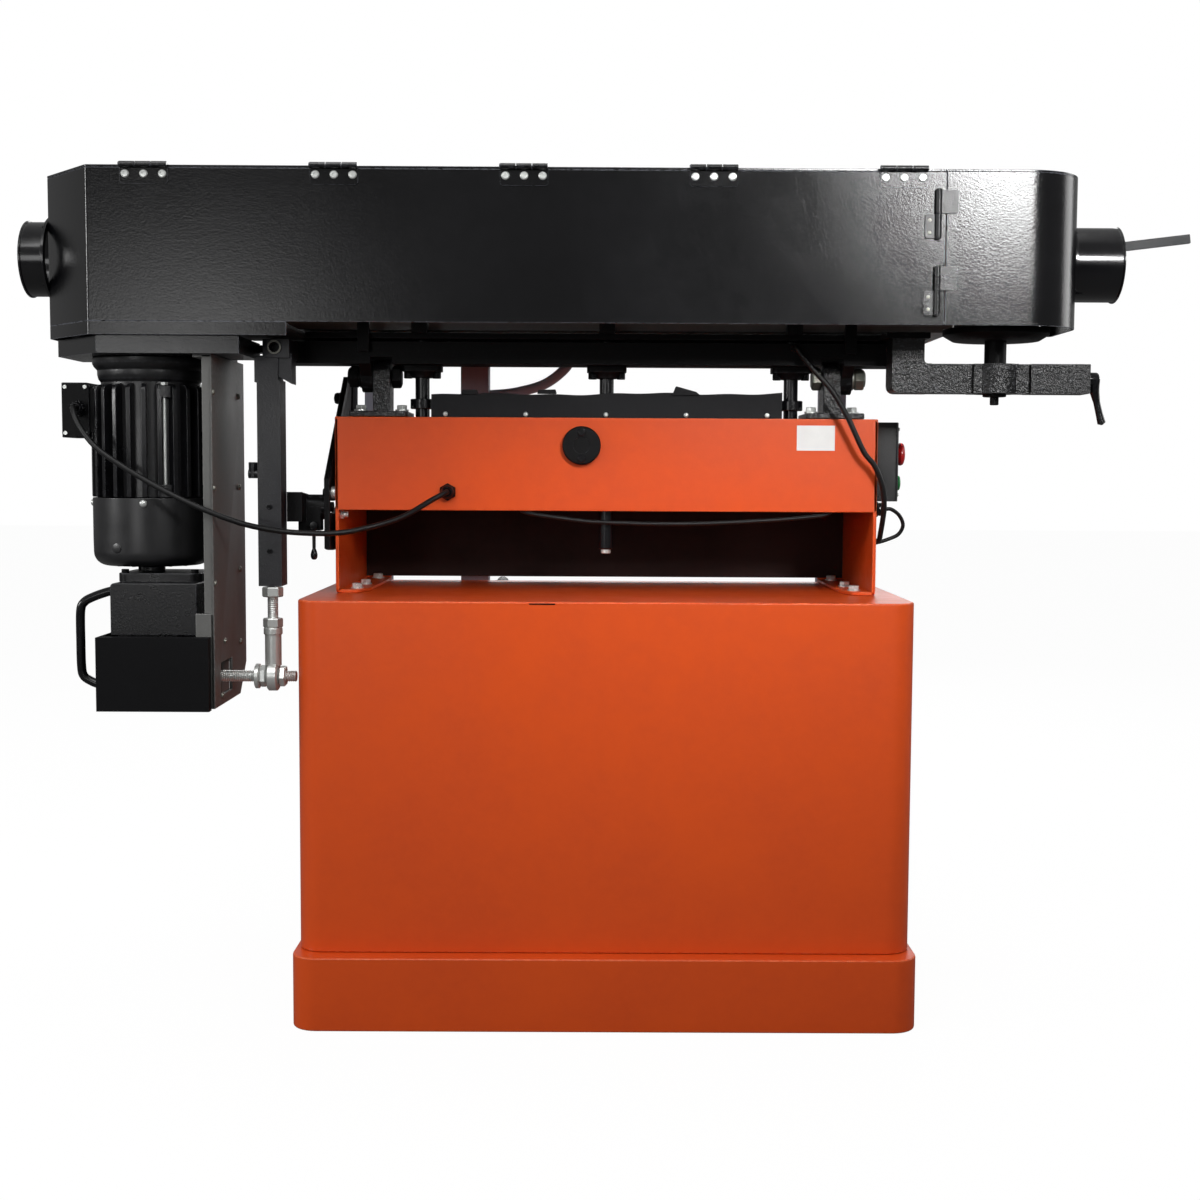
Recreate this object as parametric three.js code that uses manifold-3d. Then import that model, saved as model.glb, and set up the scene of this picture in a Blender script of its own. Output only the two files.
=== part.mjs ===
// An oscillating edge sander, seen from its rear in the photograph.
// Millimetres, +Z up, +X right from the rear, +Y towards the operator.
// The origin is the middle of the plinth's underside.

import * as THREE from "three";
import { mergeVertices } from "three/addons/utils/BufferGeometryUtils.js";
import Module from "manifold-3d";

const wasm = await Module();
wasm.setup();

// Driving dimensions

// Clearances and fineness
const seatGap = 0.3;
const runGap = 0.6;
const boreGap = 0.4;
const overrun = 6;
const weldDistance = 0.0001;
const smallSides = 10;
const mediumSides = 14;
const wheelSides = 24;
const drumSides = 24;
const cordSides = 8;

// Plinth and cabinet
const plinthLength = 844;
const plinthDepth = 504;
const plinthHeight = 100;
const plinthSheet = 4;
const plinthFloor = 6;
const plinthRim = 60;
const cabinetInset = 6;
const cabinetLedge = 28;
const cabinetHeight = 476.7;
const cabinetSheet = 3;
const cornerRadius = 35;

// Upper frame
const frameLength = 764;
const frameRear = 82;
const frameFront = 210;
const frameHeight = 248.7;
const frameSheet = 5;
const frameRearPanel = 131;
const frameLightGap = 9.7;
const frameFlange = 44;
const frameShelfLength = 94;
const frameShelfDepth = 124;

// Fittings on the upper frame
const capRadius = 27;
const capThick = 10;
const capPlace = -35;
const capDrop = 39;
const capScrewPitch = 18.5;
const capScrewRadius = 4.5;
const rearGlandPlace = -223;
const rearGlandDrop = 105;
const glandHexRadius = 11;
const glandDomeRadius = 8.5;
const glandHexThick = 7;
const glandReach = 16;
const glandBore = 4.3;
const sideGlandBack = 32;
const sideGlandDrop = 127;
const switchBoxWidth = 48.4;
const switchBoxNear = 25;
const switchBoxDepth = 80;
const switchBoxHeight = 116;
const switchBoxDrop = 1;
const switchBoxSheet = 3;
const stopButtonDrop = 47;
const stopButtonRadius = 17;
const startButtonDrop = 90;
const startButtonRadius = 11;
const buttonTravel = 3;
const buttonStemRadius = 6;
const buttonStemLength = 14;
const buttonHeadLength = 11;
const buttonSpacing = 40;

// Tilt axis, pivot brackets and quadrant
const tiltY = -52;
const tiltZ = 883;
const bracketInner = 281;
const bracketOuter = 363;
const bracketThick = 8;
const bracketNear = 28;
const bracketFar = 72;
const fixedLugInner = 305;
const lugThick = 24.4;
const lugRadius = 24;
const lugFoot = 22;
const tiltLugThick = 16;
const tiltLugRadius = 22;
const pivotRadius = 10;
const pivotHeadRadius = 16.5;
const pivotHeadLength = 17;
const pivotWasherRadius = 15.5;
const pivotWasherThick = 3.4;
const pivotNutLength = 14;
const quadrantThick = 8;
const quadrantStandoff = 6;
const quadrantRadius = 246;
const quadrantSlotRadius = 185;
const quadrantSlotWidth = 18;
const quadrantSlotFrom = 259;
const quadrantSlotTo = 359;
const quadrantBackEdge = 41;
const quadrantShoulder = 144;
const quadrantTopNear = 148;
const quadrantTopRise = 8;
const quadrantSpacerRadius = 10;
const flapThick = 4;
const flapLeft = 248;
const flapRight = 248;
const flapBottomDrop = 14;
const flapHeight = 42;

// Table lift
const sleeveWall = 8;
const guideColumnSize = 40;
const guideColumnPlace = 363;
const liftColumnSize = 44;
const liftColumnPlace = -208;
const columnBottom = 330;
const liftPlateThick = 6;
const liftPlateHeight = 150;
const liftPlateTop = 560;
const liftPlateEnd = 27;
const pinionTeeth = 12;
const pinionRadius = 18;
const toothHeight = 6;
const toothThick = 3.2;
const toothTip = 1.8;
const pinionHeight = 485;
const pinionLength = 30;
const pinionCaseWall = 8;
const wheelShaftRadius = 8;
const wheelShaftReach = 34;
const wheelRimRadius = 78;
const wheelRimTube = 9;
const wheelHubRadius = 17;
const wheelHubLength = 26;
const wheelSpokes = 3;
const wheelSpokeWidth = 14;
const wheelSpokeThick = 8;
const wheelGripRadius = 9;
const wheelGripLength = 62;
const tableTravel = 110;

// Work table
const tableLength = 980;
const tableRear = 55;
const tableFront = 295;
const tableTop = 962;
const tableThick = 13;
const tableRibDepth = 47;
const tableRibThick = 10;
const tableRibSetback = 33;
const tableRibTaper = 37;
const tableRibStart = 55;
const tableCrossRibs = 6;
const tableCrossRibDepth = 30;
const braceRadius = 8;
const braceReach = 128;
const braceDrop = 42;

// Cradle
const beamRear = 97;
const beamFront = 30;
const beamBottom = 899;
const beamHeight = 30.5;
const beamSheet = 5;
const beamLeft = 475;
const beamRight = 402;
const beamTabLength = 28;
const beamTabThick = 10;
const beamTabDepth = 34;
const beamTabDrop = 6;
const earThick = 11;
const earRise = 31;
const earLift = 16;
const beamGlandRadius = 6.8;
const postRadius = 10;
const postSpacing = 261.5;
const bushingRadius = 15;
const bushingNeck = 17;
const bushingNeckSpread = 5;
const bushingPadHalf = 28;
const bushingPadDepth = 20;
const bushingPadThick = 8;
const bushingScrewSpacing = 20;
const bushingScrewRadius = 6.5;
const bushingScrewLength = 11;
const linkWidth = 32;
const linkDepth = 40;
const linkRight = 443;
const linkFace = 122;
const linkBottom = 592;
const linkSplit = 872;
const linkTop = 905;
const linkCapShift = 3;
const linkBlockWidth = 36;
const linkBlockHeight = 22;
const linkBlockFar = 165;
const linkSideThick = 18;
const linkSideRise = 38;
const linkSideBevel = 12;
const linkTubeRadius = 9.5;
const linkTubeBore = 7;
const linkHookRadius = 6;
const linkHookReach = 16;
const linkHookHeight = 745;
const armHeight = 26;
const armInner = 422;
const armNear = 40;
const armBossRadius = 18;
const armBossLength = 46;
const armClampHeight = 30;
const armBoltRadius = 7.5;
const tiltLeverRadius = 2.6;
const tiltLeverLength = 42;
const tiltLeverHub = 6;
const rodRadius = 7.5;
const rodNutRadius = 14.4;
const rodNutLength = 14;
const rodLowerNutLength = 17;
const rodEyeRadius = 20;
const rodEyeWidth = 15;
const rodEyeHeight = 469;
const rodEyePlace = 455;
const rodShankRadius = 11;
const studRadius = 8;
const studReach = 9;
const studInner = 423;
const studNutRadius = 15;
const studNutLength = 10;
const studFlangeRadius = 17;

// Head: plate, posts, cover, trays
const plateBottom = 934;
const plateThick = 8;
const plateRight = 440;
const plateStep = 380;
const plateWide = 420;
const plateFront = 34;
const outerPostBottom = 720;
const middlePostBottom = 640;
const collarRadius = 17;
const collarHeight = 14;
const collarBottom = 838;
const coverRear = 257;
const coverLeft = 752;
const coverRight = 424.7;
const coverChamferX = 78;
const coverChamferY = 91;
const coverFrontEdge = 42;
const coverReturnEnd = 505;
const coverSheet = 3;
const coverHeight = 195.7;
const coverBottom = 942.3;
const coverDropBottom = 924.6;
const coverDropEnd = 417;
const portRadius = 50;
const portWall = 3;
const portY = -132;
const portZ = 1035;
const leftPortLength = 36;
const rightPortLength = 60;
const portFlangeRadius = 57;
const portFlangeThick = 4;
const portLip = 1.6;
const traySheet = 3;
const trayInset = 8;
const trayHeight = 22.8;
const trayFloor = 5;
const trayRight = 480;
const trayNotchX = 524;
const trayNotchY = 110;
const trayShaftHole = 30;

// Sanding belt, platen and drums
const driveX = -626;
const driveY = -132;
const driveRadius = 70;
const idlerX = 534;
const idlerRadius = 63.5;
const beltThick = 1.2;
const beltBottom = 964;
const beltHeight = 150;
const drumOverhang = 6;
const drumWall = 6;
const drumWeb = 12;
const platenLeft = 545;
const platenRight = 455;
const platenThick = 14;
const platenPad = 3;
const platenRibDepth = 18;
const platenLegWidth = 22;

// Motor, gearbox and spine
const motorRadius = 80;
const motorCore = 64;
const motorRibs = 20;
const motorBottom = 712;
const motorRibTop = 864;
const motorTop = 901.2;
const motorBore = 31;
const motorShaftRadius = 12;
const rotorRadius = 28;
const rotorBottom = 730;
const rotorHeight = 120;
const cowlBottom = 619.3;
const cowlWall = 2.5;
const cowlInset = 1;
const cowlFloor = 6;
const fanRadius = 58;
const fanBottom = 646;
const fanHeight = 30;
const fanBlades = 6;
const fanBladeThick = 3;
const junctionWidth = 40;
const junctionLeft = 738;
const junctionBottom = 792;
const junctionHeight = 76;
const junctionNear = 170;
const junctionFar = 100;
const junctionGlandDrop = 36;
const junctionGlandPlace = 712;
const spineLeft = 544;
const spineRight = 519;
const spineNear = 237;
const spineFar = 35;
const spineBottom = 433;
const spineSheet = 5;
const spineChamfer = 42;
const spineNotchHeight = 44;
const spineNotchNear = 200;
const spineNotchFar = 128;
const gearLeft = 665;
const gearRight = 545.3;
const gearNear = 222;
const gearFar = 90;
const gearBottom = 529.6;
const gearTop = 599;
const gearCapRadius = 42;
const gearCapTop = 619;
const gearLowLeft = 655;
const gearLowRight = 575;
const gearLowNear = 207;
const gearLowFar = 112;
const gearLowBottom = 440;
const gearShaftEnd = 566;
const coverPanLeft = 673;
const coverPanRight = 544.6;
const coverPanNear = 237;
const coverPanBottom = 431;
const coverPanSheet = 3;
const rearPanDepth = 15;
const rearPanRight = 524;
const panHoleRadius = 23;
const crankRadius = 24;
const crankThick = 14;
const crankThrow = 3;
const crankShaftRadius = 8;
const crankShaftLength = 18;
const handleRadius = 6;
const handleReach = 44;
const handleTop = 582;
const handleBottom = 466;
const handleY = -200;
const handleBend = 16;

// Idler arm, carriage and levers
const idlerArmLeft = 388;
const idlerLegWidth = 44;
const idlerArmNear = 150;
const idlerArmFar = 101;
const idlerArmBottom = 860;
const idlerArmHeight = 40;
const idlerArmRight = 659;
const idlerArmWaist = 7;
const idlerArmCorner = 10;
const idlerBossRadius = 34;
const idlerPadStart = 578;
const idlerSplit = 3;
const idlerSplitLength = 52;
const idlerTravel = 12;
const idlerPinRadius = 15;
const idlerDiscRadius = 72;
const idlerDiscBevel = 12;
const idlerDiscThick = 9;
const idlerDiscBottom = 932;
const idlerAxleRadius = 10;
const idlerWasherRadius = 16;
const idlerWasherThick = 4;
const idlerBoltRadius = 6;
const idlerBoltLength = 11;
const clampHubRadius = 8;
const clampHubLength = 16;
const clampLeverRadius = 4;
const clampLeverDrop = 64;
const clampLeverLean = 14;
const clampKnobRadius = 7.5;
const clampHeight = 880;
const tensionHubRadius = 15;
const tensionHubHeight = 15;
const tensionBarWidth = 13;
const tensionBarThick = 6;
const tensionCrankX = 68;
const tensionCrankY = 66;
const tensionDrop = 74;
const tensionReach = 226;
const tensionRise = 7;

// Lid, door and hinges
const lidThick = 3;
const lidHinges = 5;
const lidHingeLength = 62;
const lidHingeFirst = -598;
const lidHingePitch = 244.5;
const knuckleRadius = 4;
const knuckleSides = 6;
const leafThick = 2;
const leafHeight = 22;
const doorRight = 633;
const doorCorner = 80;
const doorFrontEdge = 75;
const doorFrontCorner = 6;
const doorLip = 16;
const doorHingeLength = 62;
const doorHingeInset = 12.7;
const doorHingeTopDrop = 85;
const doorLeafWidth = 16;

// Sizes worked out from the driving ones
const cabinetLength = plinthLength - 2 * cabinetInset;
const cabinetFront = plinthDepth / 2 - cabinetLedge;
const cabinetBottom = plinthHeight + seatGap;
const cabinetTop = cabinetBottom + cabinetHeight;
const frameBottom = cabinetTop + seatGap;
const frameTop = frameBottom + frameHeight;
const frameSide = frameLength / 2;
const shelfTop = frameTop;
const bracketBottom = frameTop + seatGap;
const bracketTop = bracketBottom + bracketThick;
const fixedLugOuter = fixedLugInner + lugThick;
const tiltLugInner = fixedLugOuter + runGap;
const tiltLugOuter = tiltLugInner + tiltLugThick;
const beamTop = beamBottom + beamHeight;
const liftPlateLength = 2 * (guideColumnPlace + liftPlateEnd);
const columnY = cabinetFront + seatGap + sleeveWall + runGap + liftColumnSize / 2;
const tableUnder = tableTop - tableThick;
const pinionX = liftColumnPlace + liftColumnSize / 2 - toothHeight / 2 + pinionRadius;
const pinionPitch = 2 * Math.PI * pinionRadius / pinionTeeth;
const plateTop = plateBottom + plateThick;
const beltOuterY = driveY + driveRadius + seatGap + beltThick;
const idlerY = beltOuterY - beltThick - seatGap - idlerRadius;
const beltTop = beltBottom + beltHeight;
const junctionGlandHeight = junctionBottom + junctionHeight - junctionGlandDrop;
const trayBottom = motorTop + seatGap;
const studOuter = spineLeft + studReach;
const studY = -linkFace - linkDepth - armBoltRadius / 2;
const coverTop = coverBottom + coverHeight;
const lidBottom = coverTop + seatGap;
const doorHingeLower = coverBottom + doorHingeInset;
const doorHingeUpper = coverTop - doorHingeTopDrop;
const lidAxisZ = coverTop + lidThick;
const lidAxisY = -coverRear - knuckleRadius - seatGap;
const doorLeft = coverRight + runGap;
const doorAxisX = (coverRight + doorLeft) / 2;
const doorAxisY = lidAxisY;
const quadrantOuter = frameSide + quadrantStandoff + quadrantThick;

// Shapes

const toRadians = Math.PI / 180;
const axisBases = {
  x: [new THREE.Vector3(0, 1, 0), new THREE.Vector3(0, 0, 1), new THREE.Vector3(1, 0, 0)],
  y: [new THREE.Vector3(1, 0, 0), new THREE.Vector3(0, 0, 1), new THREE.Vector3(0, -1, 0)],
  z: [new THREE.Vector3(1, 0, 0), new THREE.Vector3(0, 1, 0), new THREE.Vector3(0, 0, 1)],
};

// A closed three.js geometry as a solid, its faces turned outwards
function solidOf(geometry) {
  const bare = new THREE.BufferGeometry();
  bare.setAttribute("position", geometry.getAttribute("position"));
  if (geometry.index) {
    bare.setIndex(geometry.index);
  }
  const merged = mergeVertices(bare, weldDistance);
  const corners = merged.getAttribute("position");
  const kept = [];
  let volume = 0;
  const points = [new THREE.Vector3(), new THREE.Vector3(), new THREE.Vector3()];
  for (let start = 0; start < merged.index.count; start += 3) {
    const triangle = [0, 1, 2].map((step) => merged.index.getX(start + step));
    if (new Set(triangle).size === 3) {
      triangle.forEach((corner, place) => points[place].fromBufferAttribute(corners, corner));
      volume += points[0].dot(points[1].clone().cross(points[2]));
      kept.push(triangle);
    }
  }
  const faces = kept.map(([a, b, c]) => (volume > 0 ? [a, b, c] : [a, c, b]));
  return new wasm.Manifold(new wasm.Mesh({
    numProp: 3,
    vertProperties: new Float32Array(corners.array),
    triVerts: new Uint32Array(faces.flat()),
  }));
}

// A solid as a three.js geometry, moved so that the given place is its origin
function geometryOf(solid, origin) {
  const mesh = solid.getMesh();
  const geometry = new THREE.BufferGeometry();
  geometry.setAttribute("position", new THREE.BufferAttribute(mesh.vertProperties, mesh.numProp));
  geometry.setIndex(new THREE.BufferAttribute(mesh.triVerts, 1));
  geometry.translate(-origin.x, -origin.y, -origin.z);
  geometry.computeVertexNormals();
  return geometry;
}

function fuse(solids) {
  return solids.reduce((whole, solid) => whole.add(solid));
}

function cut(body, tools) {
  return tools.reduce((rest, tool) => rest.subtract(tool), body);
}

// A block between two places along each axis
function block(x0, x1, y0, y1, z0, z1) {
  const geometry = new THREE.BoxGeometry(x1 - x0, y1 - y0, z1 - z0);
  geometry.translate((x0 + x1) / 2, (y0 + y1) / 2, (z0 + z1) / 2);
  return solidOf(geometry);
}

// Points of an arc, in the plane of an outline
function arc(centreA, centreB, radius, from, to, steps) {
  return Array.from({ length: steps + 1 }, (_, step) => {
    const angle = (from + (to - from) * step / steps) * toRadians;
    return new THREE.Vector2(centreA + radius * Math.cos(angle), centreB + radius * Math.sin(angle));
  });
}

function circle(centreA, centreB, radius, sides) {
  return arc(centreA, centreB, radius, 0, 360, sides).slice(0, sides);
}

// An outline from corners [a, b] or [a, b, radius], each with a radius rounded by a curve
function outline(corners, steps = 4) {
  const points = [];
  corners.forEach(([a, b, radius = 0], place) => {
    const corner = new THREE.Vector2(a, b);
    if (radius === 0) {
      points.push(corner);
      return;
    }
    const before = corners[(place + corners.length - 1) % corners.length];
    const after = corners[(place + 1) % corners.length];
    const towards = new THREE.Vector2(before[0], before[1]).sub(corner).normalize();
    const onwards = new THREE.Vector2(after[0], after[1]).sub(corner).normalize();
    const half = Math.acos(THREE.MathUtils.clamp(towards.dot(onwards), -1, 1)) / 2;
    const middle = towards.clone().add(onwards).normalize().multiplyScalar(radius / Math.sin(half));
    const centre = corner.clone().add(middle);
    const first = corner.clone().add(towards.multiplyScalar(radius / Math.tan(half))).sub(centre);
    const last = corner.clone().add(onwards.multiplyScalar(radius / Math.tan(half))).sub(centre);
    const turn = Math.atan2(first.cross(last), first.dot(last));
    for (let step = 0; step <= steps; step += 1) {
      const spoke = first.clone().rotateAround(new THREE.Vector2(), turn * step / steps);
      points.push(centre.clone().add(spoke));
    }
  });
  return points;
}

// A closed outline around an open path, the given thickness to its left
function ribbon(path, thickness) {
  const points = path.map(([a, b]) => new THREE.Vector2(a, b));
  const shifted = points.map((point, place) => {
    const before = points[Math.max(place - 1, 0)];
    const after = points[Math.min(place + 1, points.length - 1)];
    const arriving = point.clone().sub(before).normalize();
    const leaving = after.clone().sub(point).normalize();
    const first = place === 0 ? leaving : arriving;
    const second = place === points.length - 1 ? arriving : leaving;
    const side = new THREE.Vector2(-first.y - second.y, first.x + second.x);
    const reach = 2 * thickness / side.lengthSq();
    return point.clone().add(side.multiplyScalar(reach));
  });
  return [...points, ...shifted.reverse()];
}

// An outline pushed along an axis from one place to another
function prism(points, axis, from, to, holes = []) {
  const shape = new THREE.Shape(points);
  shape.holes = holes.map((hole) => new THREE.Path(hole));
  const geometry = new THREE.ExtrudeGeometry(shape, { depth: to - from, bevelEnabled: false });
  geometry.translate(0, 0, axis === "y" ? -to : from);
  geometry.applyMatrix4(new THREE.Matrix4().makeBasis(...axisBases[axis]));
  return solidOf(geometry);
}

// A round bar along an axis; the centre is given in the other two axes, in X, Y, Z order
function bar(axis, radius, from, to, centreA, centreB, sides = smallSides, endRadius = radius) {
  const geometry = new THREE.CylinderGeometry(endRadius, radius, to - from, sides);
  geometry.rotateY(Math.PI / sides);
  return stand(geometry.translate(0, (from + to) / 2, 0), axis, centreA, centreB);
}

// A revolved profile of [radius, place along the axis]
function turned(axis, profile, centreA, centreB, sides = wheelSides) {
  const points = profile.map(([radius, along]) => new THREE.Vector2(radius, along));
  const geometry = new THREE.LatheGeometry([...points, points[0]], sides);
  return stand(geometry, axis, centreA, centreB);
}

// Lays a geometry that stands on its own Y axis along the named axis
function stand(geometry, axis, centreA, centreB) {
  if (axis === "x") {
    geometry.rotateZ(-Math.PI / 2);
    geometry.translate(0, centreA, centreB);
  } else if (axis === "y") {
    geometry.translate(centreA, 0, centreB);
  } else {
    geometry.rotateX(Math.PI / 2);
    geometry.translate(centreA, centreB, 0);
  }
  return solidOf(geometry);
}

// A round tube or cord along a smooth curve through points [x, y, z]
function bent(points, radius, steps, sides = cordSides, curve = "catmullrom") {
  const path = new THREE.CatmullRomCurve3(points.map((point) => new THREE.Vector3(...point)), false, curve);
  const section = new THREE.Shape(circle(0, 0, radius, sides));
  return solidOf(new THREE.ExtrudeGeometry(section, { steps, extrudePath: path, bevelEnabled: false }));
}

// A solid made for the right side, turned over for the left
function mirrored(side, make) {
  return side < 0 ? make().mirror([1, 0, 0]) : make();
}

// Scene graph

const sander = new THREE.Group();
sander.name = "edge_sander";
const places = new Map([[sander, new THREE.Vector3()]]);

function groupAt(parent, x, y, z) {
  const group = new THREE.Group();
  const place = new THREE.Vector3(x, y, z);
  group.position.copy(place).sub(places.get(parent));
  parent.add(group);
  places.set(group, place);
  return group;
}

// A named mesh whose own origin is at the given place of the machine
function piece(parent, name, finish, solid, x = 0, y = 0, z = 0) {
  const place = new THREE.Vector3(x, y, z);
  const mesh = new THREE.Mesh(geometryOf(solid, place), finish);
  mesh.name = name;
  mesh.position.copy(place).sub(places.get(parent));
  parent.add(mesh);
}

function finish(color, roughness, metalness) {
  return new THREE.MeshStandardMaterial({ color, roughness, metalness });
}

const orangePaint = finish(0xc8502c, 0.45, 0);
const blackCoat = finish(0x1b1b1e, 0.6, 0);
const glossBlack = finish(0x0e0e10, 0.25, 0);
const zincSteel = finish(0xb9bbb8, 0.35, 1);
const groundSteel = finish(0x9a9c9c, 0.4, 1);
const castIron = finish(0x2a2a2b, 0.7, 0.2);
const machinedIron = finish(0x8d8f8e, 0.45, 0.9);
const blackRubber = finish(0x141414, 0.85, 0);
const abrasive = finish(0x7a4a32, 0.95, 0);
const redPlastic = finish(0xb01a1c, 0.4, 0);
const greenPlastic = finish(0x1f7a3a, 0.4, 0);
const greyPaint = finish(0x77797c, 0.5, 0.3);

// Base

const base = groupAt(sander, 0, 0, 0);
const cradle = groupAt(sander, 0, tiltY, tiltZ);
const head = groupAt(cradle, 0, tiltY, plateTop);
const table = groupAt(sander, 0, columnY, tableTop);

function roundedPlan(halfLength, halfDepth, radius) {
  return outline([
    [-halfLength, -halfDepth, radius],
    [halfLength, -halfDepth, radius],
    [halfLength, halfDepth, radius],
    [-halfLength, halfDepth, radius],
  ], 4);
}

function makePlinth() {
  const halfLength = plinthLength / 2;
  const halfDepth = plinthDepth / 2;
  const inner = cornerRadius - plinthSheet;
  const room = roundedPlan(halfLength - plinthSheet, halfDepth - plinthSheet, inner);
  const opening = roundedPlan(halfLength - plinthRim, halfDepth - plinthRim, inner);
  return cut(prism(roundedPlan(halfLength, halfDepth, cornerRadius), "z", 0, plinthHeight), [
    prism(room, "z", plinthFloor, plinthHeight - plinthSheet),
    prism(opening, "z", plinthFloor, plinthHeight + overrun),
  ]);
}

function makeCabinet() {
  const halfLength = cabinetLength / 2;
  const outer = roundedPlan(halfLength, cabinetFront, cornerRadius);
  const inner = roundedPlan(
    halfLength - cabinetSheet,
    cabinetFront - cabinetSheet,
    cornerRadius - cabinetSheet,
  );
  return cut(prism(outer, "z", cabinetBottom, cabinetTop), [
    prism(inner, "z", cabinetBottom - overrun, cabinetTop - cabinetSheet),
  ]);
}

function makeFrame() {
  const inside = frameSide - frameSheet;
  const floorTop = frameBottom + frameSheet;
  const flangeEdge = frameSide - frameFlange;
  const panelBottom = frameTop - frameRearPanel;
  const shelves = [-1, 1].map((side) => mirrored(side, () => block(
    inside - frameShelfLength, inside + frameSheet / 2,
    -frameRear + frameSheet / 2, -frameRear + frameShelfDepth,
    shelfTop - frameSheet, shelfTop,
  )));
  const shell = cut(block(-frameSide, frameSide, -frameRear, frameFront, frameBottom, frameTop), [
    block(-inside, inside, -frameRear + frameSheet, frameFront - frameSheet, floorTop, frameTop + overrun),
    block(
      -flangeEdge, flangeEdge, -frameRear - overrun, frameFront + overrun,
      frameBottom - overrun, frameBottom + frameLightGap,
    ),
    block(-inside, inside, -frameRear - overrun, -frameRear + frameSheet + overrun, floorTop, panelBottom),
  ]);
  const glandHole = bar("y", glandBore, -frameRear - overrun, -frameRear + 2 * overrun,
    rearGlandPlace, frameTop - rearGlandDrop);
  return cut(fuse([shell, ...shelves]), [glandHole]);
}

piece(base, "plinth", orangePaint, makePlinth());
piece(base, "cabinet", orangePaint, makeCabinet(), 0, 0, cabinetBottom);
piece(base, "upper_frame", orangePaint, makeFrame(), 0, 0, frameBottom);

function makeCap() {
  const face = -frameRear - seatGap;
  const height = frameTop - capDrop;
  const screws = [-1, 1].map((side) => bar(
    "y", capScrewRadius, face - capThick - overrun, face - capThick / 2,
    capPlace, height + side * capScrewPitch,
  ));
  const disc = bar("y", capRadius, face - capThick, face, capPlace, height, mediumSides);
  return cut(disc, screws);
}

// A cable gland that stands out along an axis, with a hexagon and a domed nut
function makeGland(axis, face, direction, centreA, centreB, reach) {
  const ends = [face, face + direction * glandHexThick, face + direction * reach];
  const hex = bar(axis, glandHexRadius, Math.min(ends[0], ends[1]), Math.max(ends[0], ends[1]),
    centreA, centreB, 6);
  const low = Math.min(ends[1], ends[2]);
  const high = Math.max(ends[1], ends[2]);
  const narrow = glandBore + (glandDomeRadius - glandBore) / 2;
  const dome = direction > 0
    ? bar(axis, glandDomeRadius, low, high, centreA, centreB, smallSides, narrow)
    : bar(axis, narrow, low, high, centreA, centreB, smallSides, glandDomeRadius);
  return fuse([hex, dome]);
}

const capZ = frameTop - capDrop;
const rearGlandZ = frameTop - rearGlandDrop;
const sideGlandY = -frameRear + sideGlandBack;
const sideGlandZ = frameTop - sideGlandDrop;
piece(base, "round_cap", glossBlack, makeCap(), capPlace, -frameRear, capZ);
piece(base, "rear_gland", glossBlack,
  makeGland("y", -frameRear - seatGap, -1, rearGlandPlace, rearGlandZ, glandReach),
  rearGlandPlace, -frameRear, rearGlandZ);
piece(base, "side_gland", glossBlack,
  makeGland("x", frameSide + seatGap, 1, sideGlandY, sideGlandZ, glandReach),
  frameSide, sideGlandY, sideGlandZ);

const switchBoxLeft = frameSide + seatGap;
const switchBoxRight = switchBoxLeft + switchBoxWidth;
const switchBoxTop = frameTop - switchBoxDrop;
const buttonY = switchBoxNear + buttonSpacing;
const stopZ = frameTop - stopButtonDrop;
const startZ = frameTop - startButtonDrop;

function makeSwitchBox() {
  const box = block(switchBoxLeft, switchBoxRight, switchBoxNear, switchBoxNear + switchBoxDepth,
    switchBoxTop - switchBoxHeight, switchBoxTop);
  const wells = [stopZ, startZ].map((height) => bar(
    "x", buttonStemRadius + boreGap, switchBoxRight - buttonStemLength - buttonTravel - seatGap,
    switchBoxRight + overrun, buttonY, height,
  ));
  return cut(box, wells);
}

function makeButton(radius, height, headLength) {
  const start = switchBoxRight + buttonTravel + seatGap;
  const stem = bar("x", buttonStemRadius, start - buttonStemLength - seatGap, start + seatGap, buttonY, height);
  const crown = turned("x", [
    [0, start],
    [radius * 0.8, start],
    [radius, start + headLength / 3],
    [radius, start + headLength * 2 / 3],
    [radius * 0.7, start + headLength],
    [0, start + headLength],
  ], buttonY, height, mediumSides);
  return fuse([stem, crown]);
}

piece(base, "switch_box", blackCoat, makeSwitchBox(), switchBoxLeft, buttonY, switchBoxTop);
const stopGroup = groupAt(base, switchBoxRight, buttonY, stopZ);
const startGroup = groupAt(base, switchBoxRight, buttonY, startZ);
piece(stopGroup, "stop_button", redPlastic, makeButton(stopButtonRadius, stopZ, buttonHeadLength),
  switchBoxRight, buttonY, stopZ);
piece(startGroup, "start_button", greenPlastic, makeButton(startButtonRadius, startZ, buttonHeadLength / 2),
  switchBoxRight, buttonY, startZ);

// Pivot brackets, quadrant and flap

function makeBracket(side) {
  return mirrored(side, () => {
    const plate = block(bracketInner, bracketOuter, -frameRear + seatGap, tiltY + bracketFar,
      bracketBottom, bracketTop);
    const lug = prism([
      [tiltY - lugFoot, bracketTop - bracketThick / 2],
      [tiltY + lugFoot, bracketTop - bracketThick / 2],
      [tiltY + lugFoot, bracketTop + bracketThick],
    ].map(([a, b]) => new THREE.Vector2(a, b)).concat(
      arc(tiltY, tiltZ, lugRadius, -10, 190, 8),
      [new THREE.Vector2(tiltY - lugFoot, bracketTop + bracketThick)],
    ), "x", fixedLugInner, fixedLugOuter);
    const hole = bar("x", pivotRadius + boreGap, fixedLugInner - overrun, fixedLugOuter + overrun,
      tiltY, tiltZ, mediumSides);
    return cut(fuse([plate, lug]), [hole]);
  });
}

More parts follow.
